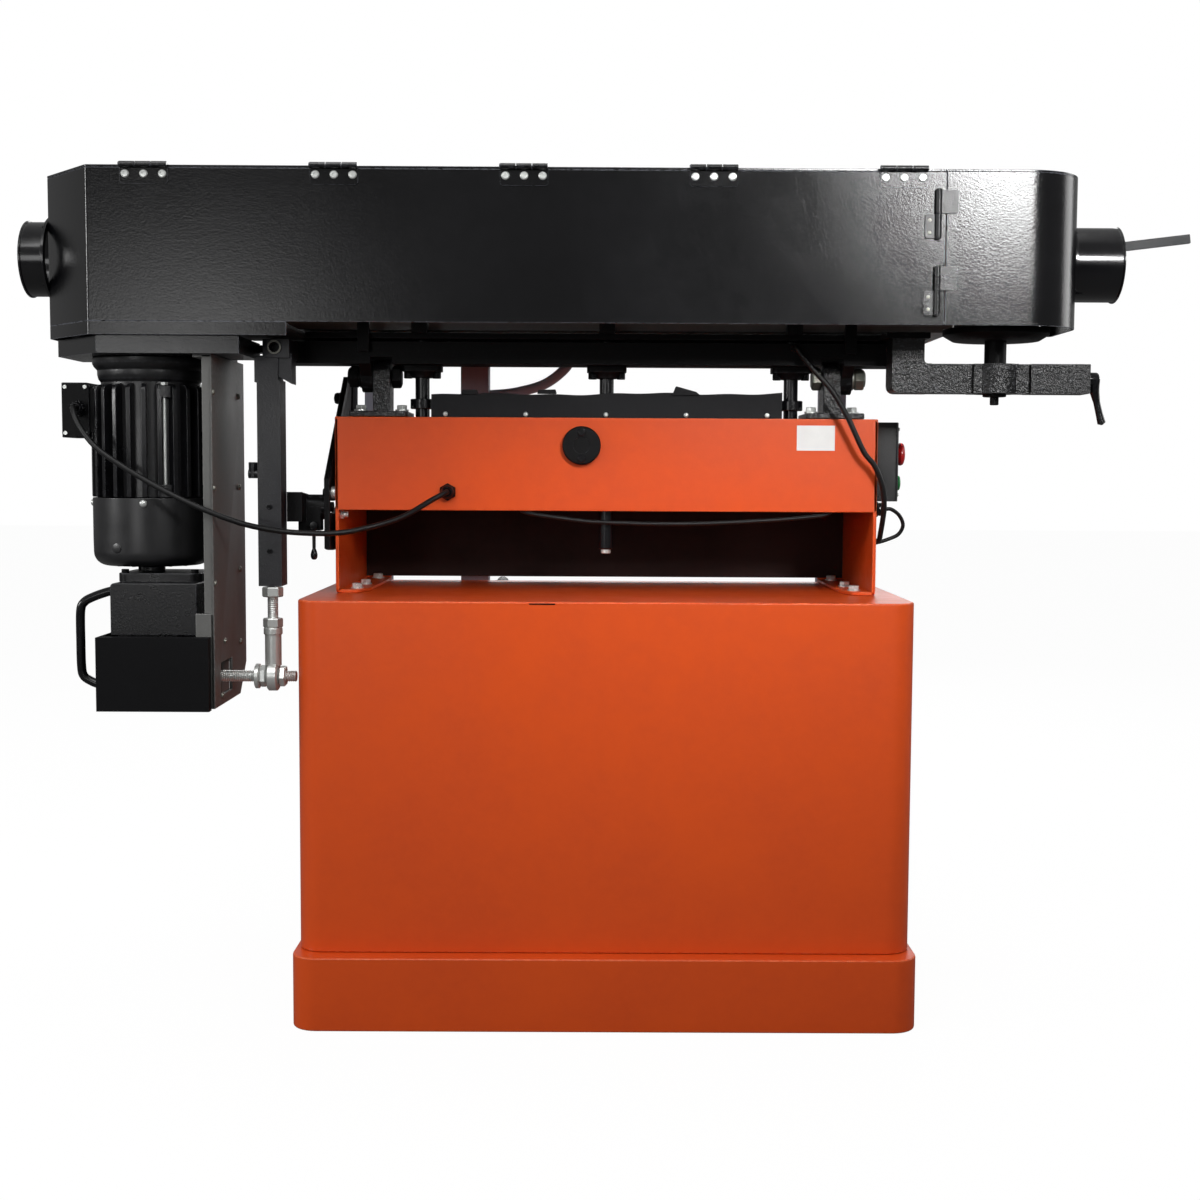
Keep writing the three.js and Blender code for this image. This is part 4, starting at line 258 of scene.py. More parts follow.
def smooth_line(points, steps):
    """A smooth curve through the points, in even steps."""
    knots = [Vector(p) for p in points]
    padded = [2 * knots[0] - knots[1], *knots, 2 * knots[-1] - knots[-2]]
    fine = []
    for place in range(len(knots) - 1):
        p0, p1, p2, p3 = padded[place:place + 4]
        bend = 2 * p0 - 5 * p1 + 4 * p2 - p3
        twist = 3 * p1 - p0 - 3 * p2 + p3
        for step in range(KNOT_STEPS):
            t = step / KNOT_STEPS
            fine.append(0.5 * (2 * p1 + (p2 - p0) * t + bend * t * t + twist * t ** 3))
    fine.append(knots[-1])
    lengths = [0.0]
    for place in range(1, len(fine)):
        lengths.append(lengths[-1] + (fine[place] - fine[place - 1]).length)
    line = []
    cursor = 0
    for step in range(steps + 1):
        goal = lengths[-1] * step / steps
        while cursor < len(fine) - 2 and lengths[cursor + 1] < goal:
            cursor += 1
        span = max(lengths[cursor + 1] - lengths[cursor], 1e-9)
        line.append(fine[cursor].lerp(fine[cursor + 1], min((goal - lengths[cursor]) / span, 1)))
    return line


def tube(line, radius, sides=20):
    """A round tube along a line of points, turned as little as it can be."""
    turns = [2 * math.pi * place / sides for place in range(sides)]
    rings = []
    side = None
    for place, point in enumerate(line):
        ahead = (line[min(place + 1, len(line) - 1)] - line[max(place - 1, 0)]).normalized()
        if side is None:
            side = ahead.orthogonal().normalized()
        side = (side - ahead * side.dot(ahead)).normalized()
        other = ahead.cross(side)
        spokes = [side * math.cos(turn) + other * math.sin(turn) for turn in turns]
        rings.append([tuple(point + spoke * radius) for spoke in spokes])
    return skinned(rings)


def moved(shape, matrix):
    corners, faces = shape
    return [tuple(matrix @ Vector(c)) for c in corners], faces


def about(place, angle):
    """A turn about the upright line through a place (x, y), in degrees."""
    return Matrix.Translation((*place[:2], 0)) @ Matrix.Rotation(math.radians(angle), 4, "Z")


print("a threaded rod has", len(threaded("z", 8, 0, 40, 0, 0)[0]), "corners")

# %% Making a piece
SHARP = math.radians(32)
TOUCHING = 0.00002


def turn_outwards(mesh, join=0):
    """Faces the mesh outwards and shades it smooth; join is in metres."""
    shell = bmesh.new()
    shell.from_mesh(mesh)
    if join:
        bmesh.ops.remove_doubles(shell, verts=shell.verts, dist=join)
    bmesh.ops.recalc_face_normals(shell, faces=shell.faces)
    for face in shell.faces:
        face.smooth = True
    shell.to_mesh(mesh)
    shell.free()


def mesh_of(name, shapes, finish):
    """One mesh in metres from several shapes in millimetres."""
    corners, faces = [], []
    for shape_corners, shape_faces in shapes:
        start = len(corners)
        corners += [(x * MM, y * MM, z * MM) for x, y, z in shape_corners]
        faces += [[start + place for place in face] for face in shape_faces]
    mesh = bpy.data.meshes.new(name)
    mesh.from_pydata(corners, [], faces)
    turn_outwards(mesh)
    mesh.materials.append(finish)
    return mesh


def declare(made, body, stands_for=()):
    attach(made, body)
    if stands_for:
        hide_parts(*stands_for)
    return made


def build(name, shapes, finish, body, stands_for=(), edge=0.6, segments=2):
    """One named piece from several shapes, with softened edges."""
    mesh = mesh_of(name, shapes, finish)
    made = into_scene(name, mesh)
    if edge:
        soften_edges(made, edge, segments)
    else:
        mesh.set_sharp_from_angle(angle=SHARP)
    return declare(made, body, stands_for)


def soften_edges(made, edge, segments=2):
    bevel = made.modifiers.new("soft_edges", "BEVEL")
    bevel.width = edge * MM
    bevel.segments = segments
    bevel.limit_method = "ANGLE"
    bevel.angle_limit = SHARP
    bevel.harden_normals = True


def dress(node, finish, edge=0.8):
    """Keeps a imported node, and gives it softened edges and a finish."""
    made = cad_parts[node]
    made.data.materials.clear()
    made.data.materials.append(finish)
    made.data.polygons.foreach_set("use_smooth", [True] * len(made.data.polygons))
    weld = made.modifiers.new("joined_corners", "WELD")
    weld.merge_threshold = TOUCHING
    if edge:
        soften_edges(made, edge)
        even = made.modifiers.new("even_normals", "WEIGHTED_NORMAL")
        even.mode = "FACE_AREA"
        even.weight = 100
    return made


print("pieces are built in", MM, "metre steps")

# %% [markdown]
# ## Light and floor
# The machine stands on a plain white floor under soft lamps, as in a small studio.
# Only the camera sees the sky as pure white. The surfaces and their reflections get
# a weaker sky, so a painted face stays near the colour that it is given.

# %% Node helpers
WHITE = (1, 1, 1, 1)


def linear(code):
    """A colour from its web code, in the units that the shader works in."""
    parts = [int(code[place:place + 2], 16) / 255 for place in (0, 2, 4)]
    shares = [p / 12.92 if p <= 0.04045 else ((p + 0.055) / 1.055) ** 2.4 for p in parts]
    return (*shares, 1.0)


def empty_tree(owner):
    """The node tree of a material or sky, emptied."""
    owner.use_nodes = True
    owner.node_tree.nodes.clear()
    return owner.node_tree


def node_of(tree, kind, **values):
    """A new shader node, with inputs set by name."""
    node = tree.nodes.new("ShaderNode" + kind)
    for label, value in values.items():
        node.inputs[label.replace("_", " ")].default_value = value
    return node


def feed(tree, socket, value):
    """Gives a socket a fixed value, or the output of another node."""
    if isinstance(value, (int, float, tuple)):
        socket.default_value = value
    else:
        tree.links.new(value, socket)


def number_node(tree, operation, first, second):
    node = node_of(tree, "Math")
    node.operation = operation
    feed(tree, node.inputs[0], first)
    feed(tree, node.inputs[1], second)
    return node.outputs[0]


def mix_shaders(tree, share, first, second):
    node = node_of(tree, "MixShader")
    for place, value in enumerate((share, first.outputs[0], second.outputs[0])):
        tree.links.new(value, node.inputs[place])
    return node.outputs[0]


print("white in the shader's units:", linear("FFFFFF"))

# %% Sky
SKY_FILL = 0.30
scene = bpy.context.scene
scene.view_settings.view_transform = "Standard"
scene.world = bpy.data.worlds.new("studio_sky")
sky = empty_tree(scene.world)
rays = node_of(sky, "LightPath").outputs
seen = number_node(sky, "MAXIMUM", rays["Is Camera Ray"], rays["Is Transmission Ray"])
fill = node_of(sky, "Background", Color=WHITE, Strength=SKY_FILL)
shown = node_of(sky, "Background", Color=WHITE)
sky.links.new(mix_shaders(sky, seen, fill, shown), node_of(sky, "OutputWorld").inputs[0])
print("sky fill", SKY_FILL)

# %% Lamps
# Name, place, target, width in metres, power in watts and spread in degrees
LAMPS = [
    ("key_lamp", (-0.9, -2.6, 3.5), (-0.1, -0.1, 0.95), 1.8, 58, 180),
    ("left_strobe", (-1.4, -2.9, 0.95), (-0.6, -0.2, 0.9), 0.7, 7, 180),
    ("right_strobe", (1.27, -2.9, 1.78), (0.35, -0.2, 1.1), 0.5, 4.2, 40),
    ("frame_strobe", (0.6, -2.6, 2.3), (0.08, -0.1, 0.76), 0.5, 0.36, 20),
    ("top_lamp", (0.0, 0.1, 3.2), (0, 0, 0.9), 2.4, 46, 180),
    ("left_rim_lamp", (-3.4, -1.5, 1.45), (-0.6, -0.2, 0.95), 0.7, 34, 180),
    ("right_rim_lamp", (3.2, 0.5, 1.6), (0.5, 0, 0.9), 1.2, 20, 180),
    ("front_lamp", (0.4, 3.4, 2.3), (0, 0, 0.8), 2.0, 44, 180),
]
for name, place, target, width, power, spread in LAMPS:
    lamp = bpy.data.lights.new(name, "AREA")
    lamp.shape = "SQUARE"
    lamp.size = width
    lamp.energy = power
    lamp.spread = math.radians(spread)
    holder = into_scene(name, lamp)
    holder.location = place
    holder.rotation_euler = (Vector(target) - Vector(place)).to_track_quat("-Z", "Y").to_euler()
print("lamps:", len(LAMPS))

# %% Floor
FLOOR_HALF = 20
FLOOR_GLOW = 1.21
GLOW_SHARE = 0.8
floor_corners = [(-FLOOR_HALF, -FLOOR_HALF, 0), (FLOOR_HALF, -FLOOR_HALF, 0), (FLOOR_HALF, FLOOR_HALF, 0),
                 (-FLOOR_HALF, FLOOR_HALF, 0)]
floor_mesh = bpy.data.meshes.new("studio_floor")
floor_mesh.from_pydata(floor_corners, [], [(0, 1, 2, 3)])
into_scene("studio_floor", floor_mesh)
floor_paint = bpy.data.materials.new("floor_paint")
tree = empty_tree(floor_paint)
matte = node_of(tree, "BsdfDiffuse", Color=linear("6E6E6E"))
glow = node_of(tree, "Emission", Color=WHITE, Strength=FLOOR_GLOW)
share = number_node(tree, "MULTIPLY", node_of(tree, "LightPath").outputs["Is Camera Ray"], GLOW_SHARE)
tree.links.new(mix_shaders(tree, share, matte, glow), node_of(tree, "OutputMaterial").inputs[0])
floor_mesh.materials.append(floor_paint)
print("floor", 2 * FLOOR_HALF, "metres across")

# %% [markdown]
# ## Effects that several finishes share
# Powder coat has fine pebbles, a casting has coarse ones, ground steel has lines,
# and every surface has faint smudges and edges that are rubbed a little. Each is a
# small node group with one number of its own, so that a material can scale it.

# %% Node groups
def effect(name, label, value, outputs):
    """An empty node group with one number going in, and its outputs."""
    group = bpy.data.node_groups.new(name, "ShaderNodeTree")
    taken = group.interface.new_socket(name=label, in_out="INPUT", socket_type="NodeSocketFloat")
    taken.default_value = value
    for given in outputs:
        group.interface.new_socket(name=given, in_out="OUTPUT", socket_type="NodeSocketFloat")
    value_in = group.nodes.new("NodeGroupInput").outputs[label]
    return group, value_in, group.nodes.new("NodeGroupOutput")


def ramp_node(tree, value, low, high, to_low=0.0, to_high=1.0):
    node = node_of(tree, "MapRange", From_Min=low, From_Max=high, To_Min=to_low, To_Max=to_high)
    tree.links.new(value, node.inputs["Value"])
    return node.outputs["Result"]


def noise_node(tree, place, scale, detail=2.0, rough=0.5):
    node = node_of(tree, "TexNoise", Detail=detail, Roughness=rough)
    tree.links.new(place, node.inputs["Vector"])
    feed(tree, node.inputs["Scale"], scale)
    return node.outputs["Fac"]


def own_place(tree):
    return node_of(tree, "TexCoord").outputs["Object"]


# Pebbles: a height, and a mask of the tips where a painted glint colour goes
pebbles, scale_in, outside = effect("pebbled_skin", "Scale", 420.0, ["Height", "Glints"])
bumps = noise_node(pebbles, own_place(pebbles), scale_in, 3.0, 0.62)
pebbles.links.new(bumps, outside.inputs["Height"])
pebbles.links.new(ramp_node(pebbles, bumps, 0.56, 0.74), outside.inputs["Glints"])

# Smudges: large soft patches, broken by smaller ones
smudges, scale_in, outside = effect("hand_smudges", "Scale", 7.0, ["Mask"])
place_of = own_place(smudges)
large = noise_node(smudges, place_of, scale_in, 3.0, 0.6)
small = noise_node(smudges, place_of, number_node(smudges, "MULTIPLY", scale_in, 9.0), 4.0, 0.65)
mixed = number_node(smudges, "MULTIPLY", large, number_node(smudges, "ADD", small, 0.5))
smudges.links.new(ramp_node(smudges, mixed, 0.3, 0.72), outside.inputs["Mask"])

# Rubbed edges: on the narrow bevel faces, where the smooth and the true normal differ
rubbed, reach_in, outside = effect("rubbed_edges", "Reach", 0.06, ["Mask"])
surface_of = node_of(rubbed, "NewGeometry").outputs
likeness = node_of(rubbed, "VectorMath")
likeness.operation = "DOT_PRODUCT"
rubbed.links.new(surface_of["Normal"], likeness.inputs[0])
rubbed.links.new(surface_of["True Normal"], likeness.inputs[1])
turned_away = number_node(rubbed, "SUBTRACT", 1.0, likeness.outputs["Value"])
sharp = number_node(rubbed, "DIVIDE", turned_away, reach_in)
broken = ramp_node(rubbed, noise_node(rubbed, own_place(rubbed), 160.0, 3.0, 0.6), 0.35, 0.6)
worn = number_node(rubbed, "MULTIPLY", sharp, broken)
rubbed.links.new(ramp_node(rubbed, worn, 0.05, 0.6), outside.inputs["Mask"])

# Fine lines left by a grinder or cutter, along X
lines, scale_in, outside = effect("cutter_lines", "Scale", 60.0, ["Height"])
squeezed = node_of(lines, "Mapping", Scale=(0.04, 1.0, 1.0))
lines.links.new(own_place(lines), squeezed.inputs["Vector"])
line_scale = number_node(lines, "MULTIPLY", scale_in, 20.0)
lines.links.new(noise_node(lines, squeezed.outputs["Vector"], line_scale), outside.inputs["Height"])

# Grit of an abrasive belt
grit, scale_in, outside = effect("belt_grit", "Scale", 900.0, ["Height", "Grain"])
cells = node_of(grit, "TexVoronoi")
grit.links.new(own_place(grit), cells.inputs["Vector"])
grit.links.new(scale_in, cells.inputs["Scale"])
grit.links.new(cells.outputs["Distance"], outside.inputs["Height"])
grit.links.new(ramp_node(grit, cells.outputs["Distance"], 0.1, 0.7), outside.inputs["Grain"])
print("effects:", [group.name for group in bpy.data.node_groups])

# %% [markdown]
# ## Finishes
# One recipe makes every finish: a colour and a second shade that the smudges mix, a roughness that varies
# with them, a bump from one of the skins, a tips colour on the skin's high points (painted glints on pebbles,
# the grain colour on grit), and the colour that shows where an edge is rubbed. What is the same all over a
# surface is set on the shader's own socket.

# %% The recipe for a finish
def placed(tree, group, **values):
    node = tree.nodes.new("ShaderNodeGroup")
    node.node_tree = group
    for label, value in values.items():
        node.inputs[label].default_value = value
    return node.outputs


def mix_colours(tree, mask, first, second):
    node = node_of(tree, "Mix")
    node.data_type = "RGBA"
    tree.links.new(mask, node.inputs["Factor"])
    for label, value in (("A", first), ("B", second)):
        feed(tree, [s for s in node.inputs if s.name == label and s.type == "RGBA"][0], value)
    return [s for s in node.outputs if s.type == "RGBA"][0]


COAT_ROUGHNESS = 0.08


def make_finish(name, colour, shade, rough, skin=pebbles, scale=420.0, depth=0.00012, strength=0.5,
                metal=0.0, coat=0.0, edge_colour=None, tips=None, specular=0.5, smudge_scale=7.0, reach=0.08):
    """A material: rough is (least, most); depth is the height of the skin in metres; tips is a colour and a
    share mixed in on the skin's second output, which gives painted glints on pebbles and the real grains on
    the belt's grit.
    """
    material = bpy.data.materials.new(name)
    tree = empty_tree(material)
    shader = node_of(tree, "BsdfPrincipled", Metallic=metal, Coat_Weight=coat,
                     Coat_Roughness=COAT_ROUGHNESS, Specular_IOR_Level=specular)
    tree.links.new(shader.outputs[0], node_of(tree, "OutputMaterial").inputs[0])
    smear = placed(tree, smudges, Scale=smudge_scale)["Mask"]
    surface = mix_colours(tree, smear, linear(colour), linear(shade))
    skin_out = placed(tree, skin, Scale=scale)
    # Mixes in the tips colour: a painted glint on pebbled skins, the grain colour on grit
    if tips:
        glint_and_grain_share = number_node(tree, "MULTIPLY", skin_out[1], tips[1])
        surface = mix_colours(tree, glint_and_grain_share, surface, linear(tips[0]))
    if edge_colour:
        worn_edge = placed(tree, rubbed, Reach=reach)["Mask"]
        surface = mix_colours(tree, worn_edge, surface, linear(edge_colour))
    tree.links.new(surface, shader.inputs["Base Color"])
    tree.links.new(ramp_node(tree, smear, 0.0, 1.0, *rough), shader.inputs["Roughness"])
    bump = node_of(tree, "Bump", Strength=strength, Distance=depth)
    tree.links.new(skin_out["Height"], bump.inputs["Height"])
    tree.links.new(bump.outputs["Normal"], shader.inputs["Normal"])
    return material


# %% Paints and castings
orange_paint = make_finish(
    "orange_paint", "CE4C18", "C64716", (0.3, 0.4), scale=330.0, depth=0.00022, coat=0.05,
    edge_colour="EE9468", reach=0.09, specular=0.3
)
# Near-black brown, painted shade for the inside of the frame
inside_shade_paint = make_finish("inside_shade_paint", "2A0E08", "210B06", (0.5, 0.65), scale=260.0, depth=0.0001,
                           strength=0.4, specular=0.2)
head_coat = make_finish("head_coat", "040405", "070709", (0.14, 0.2), scale=430.0, depth=0.0003,
                        strength=0.6, tips=("1E2026", 0.1), edge_colour="70727A", reach=0.04, specular=0.35)
black_coat = make_finish("black_coat", "09090B", "0E0E10", (0.24, 0.34), scale=430.0, depth=0.0003,
                         strength=0.7, tips=("2E2F33", 0.2), edge_colour="55565A", specular=0.4)
flat_black = make_finish(
    "flat_black", "070708", "0C0C0D", (0.42, 0.55), scale=520.0, depth=0.0002, tips=("2E2F32", 0.25),
    edge_colour="404144", specular=0.12
)
pan_black = make_finish(
    "pan_black", "08080A", "0C0C0E", (0.5, 0.62), scale=480.0, depth=0.0002, tips=("202124", 0.2),
    edge_colour="2E2F33", specular=0.12
)
# The spine's mid grey is a painted sheen: a lighter colour standing in for the light on the face of a dark
# part.
spine_sheen_grey = make_finish("spine_sheen_grey", "545452", "5E5E5C", (0.38, 0.5), scale=520.0, depth=0.00025,
                         strength=0.6, tips=("7A7A78", 0.3), edge_colour="8A8A88")
link_coat = make_finish("link_coat", "0E0E12", "16161B", (0.3, 0.42), scale=360.0, depth=0.0004,
                        strength=0.8, tips=("3A3B40", 0.35), edge_colour="4E4F54")
gloss_black = make_finish("gloss_black", "08080A", "0C0C0F", (0.16, 0.26), scale=120.0, depth=0.00008,
                          strength=0.25, coat=0.15, edge_colour="26272B", reach=0.1, specular=0.3)
port_gloss = make_finish("port_gloss", "060608", "0A0A0C", (0.14, 0.22), scale=90.0, depth=0.00006,
                         strength=0.2, coat=0.3, edge_colour="26272B", reach=0.1, specular=0.35)
motor_black = make_finish("motor_black", "08080A", "0D0D10", (0.26, 0.38), scale=300.0, depth=0.0003,
                          strength=0.6, tips=("34353B", 0.3), edge_colour="4A4B50", reach=0.09, specular=0.6)
cowl_black = make_finish("cowl_black", "09090B", "0E0E11", (0.3, 0.42), scale=240.0, depth=0.0001,
                         strength=0.3, edge_colour="303136", reach=0.1, specular=0.7)
rough_cast = make_finish("rough_cast", "0B0B0C", "111112", (0.28, 0.4), scale=200.0, depth=0.0022,
                         strength=1.0, tips=("6A6B70", 0.5), edge_colour="5A5B5F")
cast_iron = make_finish("cast_iron_black", "0A0A0B", "101011", (0.45, 0.62), scale=230.0, depth=0.0009,
                        strength=0.85, tips=("343538", 0.4), edge_colour="404145", specular=0.22)
grey_paint = make_finish("grey_paint", "A9B2C0", "98A1B0", (0.38, 0.5), scale=300.0, depth=0.00012,
                         strength=0.4, reach=0.06, edge_colour="7E8086", specular=0.35)
lever_grey = make_finish("lever_grey", "202123", "282A2C", (0.36, 0.48), depth=0.00015,
                         strength=0.4, edge_colour="5C5D60", specular=0.3)
print("paints and castings:", len(bpy.data.materials) - 1)

# %% Metals, rubber and plastics
zinc_steel = make_finish("zinc_steel", "DADCD9", "C6C9C6", (0.24, 0.4), scale=700.0, depth=0.00006,
                         strength=0.3, metal=0.65, edge_colour="E6E7E5", reach=0.1)
dull_zinc = make_finish("dull_zinc", "8A8A81", "71716A", (0.36, 0.52), scale=500.0, depth=0.00008,
                        strength=0.4, metal=0.8, edge_colour="B4B4AA", reach=0.1)
ground_steel = make_finish("ground_steel", "A9ABAB", "989A9A", (0.28, 0.42), skin=lines, scale=60.0,
                           depth=0.00006, strength=0.4, metal=1.0)
machined_iron = make_finish("machined_iron", "9EA0A0", "8E9090", (0.3, 0.45), skin=lines, scale=40.0,
                            depth=0.00008, strength=0.4, metal=0.5, reach=0.06, edge_colour="E2E3E3")
cord_rubber = make_finish("cord_rubber", "0A0A0B", "101011", (0.4, 0.55), scale=900.0, depth=0.00008,
                          strength=0.4, specular=0.3)
flap_rubber = make_finish(
    "flap_rubber", "141416", "1D1D1F", (0.5, 0.7), scale=300.0, depth=0.0003, smudge_scale=14.0,
    specular=0.15
)
belt_cloth = make_finish("belt_cloth", "8A553A", "7A4830", (0.85, 0.95), skin=grit, scale=900.0,
                         depth=0.0005, strength=0.8, tips=("B98463", 0.6), specular=0.2)
red_plastic = make_finish("red_plastic", "B5191B", "A31416", (0.25, 0.35), scale=200.0, depth=0.00005,
                          strength=0.3)
green_plastic = make_finish("green_plastic", "1E7A3E", "186A34", (0.25, 0.35), scale=200.0, depth=0.00005,
                            strength=0.3)
label_white = make_finish("label_white", "D8D8D6", "CDCDCB", (0.4, 0.5), scale=100.0, depth=0.00003,
                          strength=0.2)
# Near-black, painted shade for slits and vents that are not cut
hole_shade_black = make_finish("hole_shade_black", "040405", "070708", (0.8, 0.9), scale=200.0, depth=0.0001,
                         strength=0.2, specular=0.05)
print("finishes:", len(bpy.data.materials) - 1)

# %% [markdown]
# ## The cables
# Four black cables are held at both ends, so each is a fixed length that sags
# between its glands. The motor cable runs from the motor's terminal box across the
# gap to the base, and the one on the right leaves the tilting beam. Both cross the tilt hinge, so they are
# left in the world in their rest shape, tied to neither body.

# %% Cable routes
CABLE_STEPS = 72
MOTOR_ROUTE = [
    (-712, -192.1, 832), (-712, -201, 831.8), (-705, -210, 815), (-688, -220, 792), (-663, -228, 770),
    (-601, -240, 733), (-540, -247, 703), (-489, -243, 683), (-458, -230, 674), (-422, -215, 668),
    (-371, -198, 666), (-333, -182, 671), (-282, -155, 686), (-244, -122, 709), (-223, -108, 721),
    (-223, -98.7, 721),
]
HEAD_ROUTE = [
    (261.5, -104.4, 923.5), (261.5, -112, 923.3), (274, -114, 906), (290, -113, 888), (312, -112, 864),
    (334, -110, 829), (358, -106, 781), (375, -102, 760), (387, -95, 732), (392, -84, 704), (392, -72, 682),
    (391.5, -60, 665), (391, -54, 656), (387.5, -52, 653), (382.9, -52, 653),
]
SWITCH_ROUTE = [
    (398.7, -50, 699), (408, -50, 699), (421, -43, 690), (427, -40, 676), (421, -38, 663), (407, -38, 656),
    (391, -38, 651), (382.5, -38, 651),
]
INNER_ROUTE = [
    (-121, -73.5, 706), (-116, -72, 693), (-60, -70, 684), (-8, -70, 679), (106, -70, 677), (219, -70, 682),
    (300, -71, 689), (318, -72, 695), (322, -73.5, 706),
]


def lay_cable(name, route, radius, body, node, crossing=None):
    """A cable along its route, a tube of the given radius; tied to a body, or left in the world when it
    crosses the hinge.
    """
    line = smooth_line(route, CABLE_STEPS)
    cable = into_scene(name, mesh_of(name, [tube(line, radius)], cord_rubber))
    if crossing:
        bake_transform(cable)
    else:
        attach(cable, body)
    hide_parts(node)


lay_cable("motor_lead", MOTOR_ROUTE, 3.75, "head", "motor_cable",
          ("cradle", "base", (-0.66, -0.23, 0.77), (-0.30, -0.165, 0.68)))
lay_cable("head_lead", HEAD_ROUTE, 3.75, "base", "head_cable",
          ("cradle", "base", (0.27, -0.112, 0.92), (0.385, -0.09, 0.73)))
lay_cable("switch_lead", SWITCH_ROUTE, 2.75, "base", "switch_cable")
lay_cable("inner_lead", INNER_ROUTE, 2.8, "base", "inner_cable")

# %% [markdown]
# ## The orange base
# The base is folded from sheet: a low plinth, a cabinet with round corners, and an
# open frame on top. A box with a bevel would do for each, but the frame is open at
# the back, so its walls, flanges and the rear panel are separate sheets.

# %% Plinth and cabinet
def mirror(shape):
    corners, faces = shape
    return [(-x, y, z) for x, y, z in corners], faces


def both(shape):
    return [shape, mirror(shape)]


def block(half_long, half_deep, foot, top):
    """A block about the middle of the machine, with the base's round corners."""
    return push(plate_round(-half_long, half_long, -half_deep, half_deep, 35), "z", foot, top)


CABINET_HALF = 416
build("plinth_shell", [block(422, 252, 0, 100)], orange_paint, "base", ["plinth"],
      edge=2.2, segments=3)
build("cabinet_shell", [block(CABINET_HALF, 224, 100.3, 577)], orange_paint, "base",
      ["cabinet"], edge=2.2, segments=3)
# The slit is a thin near-black strip of painted shade on the cabinet's face.
build("cabinet_slit", [push(plate_round(-103, -68, 573.2, 575.2, 0.9, 3), "y", -224.25, -223)],
      hole_shade_black, "base", edge=0)
print("cabinet", 2 * CABINET_HALF, "mm wide")

# %% Frame sheets
FRAME_SIDE = 382
FRAME_REAR = -82
FRAME_FRONT = 210
FRAME_FOOT = 577.3
FRAME_HEAD = 826
PANEL_FOOT = 695
SHEET = 5
FLANGE_EDGE = 338
side_wall = push(rounded([
    (FRAME_REAR, FRAME_FOOT, 10), (FRAME_FRONT, FRAME_FOOT, 3), (FRAME_FRONT, FRAME_HEAD, 3),
    (FRAME_REAR, FRAME_HEAD, 3)], 6), "x", FRAME_SIDE - SHEET, FRAME_SIDE)
side_flange = push(
    rounded(
        [
            (FLANGE_EDGE, FRAME_REAR + 52, 4), (350, FRAME_REAR + 4, 8),
            (FRAME_SIDE - 2, FRAME_REAR + 2, 6), (FRAME_SIDE - 2, FRAME_FRONT - 2),
            (FLANGE_EDGE, FRAME_FRONT - 2)
        ],
        5
    ),
    "z", FRAME_FOOT, FRAME_FOOT + SHEET
)
shelf = slab(283, FRAME_SIDE - 3, FRAME_REAR + 2, 42, FRAME_HEAD - SHEET, FRAME_HEAD)
front_wall = push(
    rounded(
        [
            (-FRAME_SIDE + 1, FRAME_HEAD, 3), (-FRAME_SIDE + 1, FRAME_FOOT), (-FLANGE_EDGE, FRAME_FOOT),
            (-FLANGE_EDGE, 584.4), (FLANGE_EDGE, 584.4), (FLANGE_EDGE, FRAME_FOOT),
            (FRAME_SIDE - 1, FRAME_FOOT), (FRAME_SIDE - 1, FRAME_HEAD, 3)
        ],
        4
    ),
    "y", FRAME_FRONT - SHEET, FRAME_FRONT
)
rear_panel = push(rounded([
    (-FRAME_SIDE, PANEL_FOOT, 2), (FRAME_SIDE, PANEL_FOOT, 2), (FRAME_SIDE, FRAME_HEAD, 4),
    (-FRAME_SIDE, FRAME_HEAD, 4)], 4), "y", FRAME_REAR, FRAME_REAR + SHEET)
build("frame_sheets", [*both(side_wall), *both(side_flange), *both(shelf), front_wall, rear_panel],
      orange_paint, "base", ["upper_frame"], edge=1.3, segments=3)
# The frame's inside is darkened with painted shade: thin near-black brown sheets on the inner faces of the
# front wall and the rear panel.
SHADE_SHEET = 0.6
INNER = FRAME_SIDE - SHEET
front_inner_y = FRAME_FRONT - SHEET
panel_y = FRAME_REAR + SHEET
front_shade_sheet = slab(-INNER, INNER, front_inner_y - SHADE_SHEET, front_inner_y, 584.6, FRAME_HEAD - 2)
rear_shade_sheet = slab(-INNER, INNER, panel_y, panel_y + SHADE_SHEET, PANEL_FOOT + 1, FRAME_HEAD - 6)
build("frame_shade_sheets", [front_shade_sheet, rear_shade_sheet], inside_shade_paint, "base", edge=0)
print("frame", 2 * FRAME_SIDE, "mm wide")

# %% Bolts of the frame
WASHER = 1.6
seat = FRAME_FOOT + SHEET
flange_bolts = []
for along in (-52, 37, 181):
    flange_bolts += both(hexagon("z", 8, seat + WASHER, seat + 7.5, 356, along, turn=14))
    flange_bolts += both(rod("z", 9.5, seat, seat + WASHER, 356, along))
build("frame_bolts", flange_bolts, zinc_steel, "base", edge=0.3)
build(
    "spacer_bolt_end",
    [threaded("x", 4, -377.2, -366, -66, 688), hexagon("x", 6.5, -377.2, -372, -66, 688)], zinc_steel,
    "base", edge=0.2
)
build(
    "blank_label", [slab(267.6, 321.2, -82.5, -81.9, 781.6, 816.7)], label_white, "base",
    edge=0.15
)
print("bolts on the flanges:", len(flange_bolts) // 2)

# %% [markdown]
# ## Fittings on the base
# A round black cap with two socket screws closes a hole in the rear panel, and the
# cables enter through glands: a six-sided foot, a ribbed nut and a soft seal. The
# switch box hangs on the right wall, with a red and a green button.

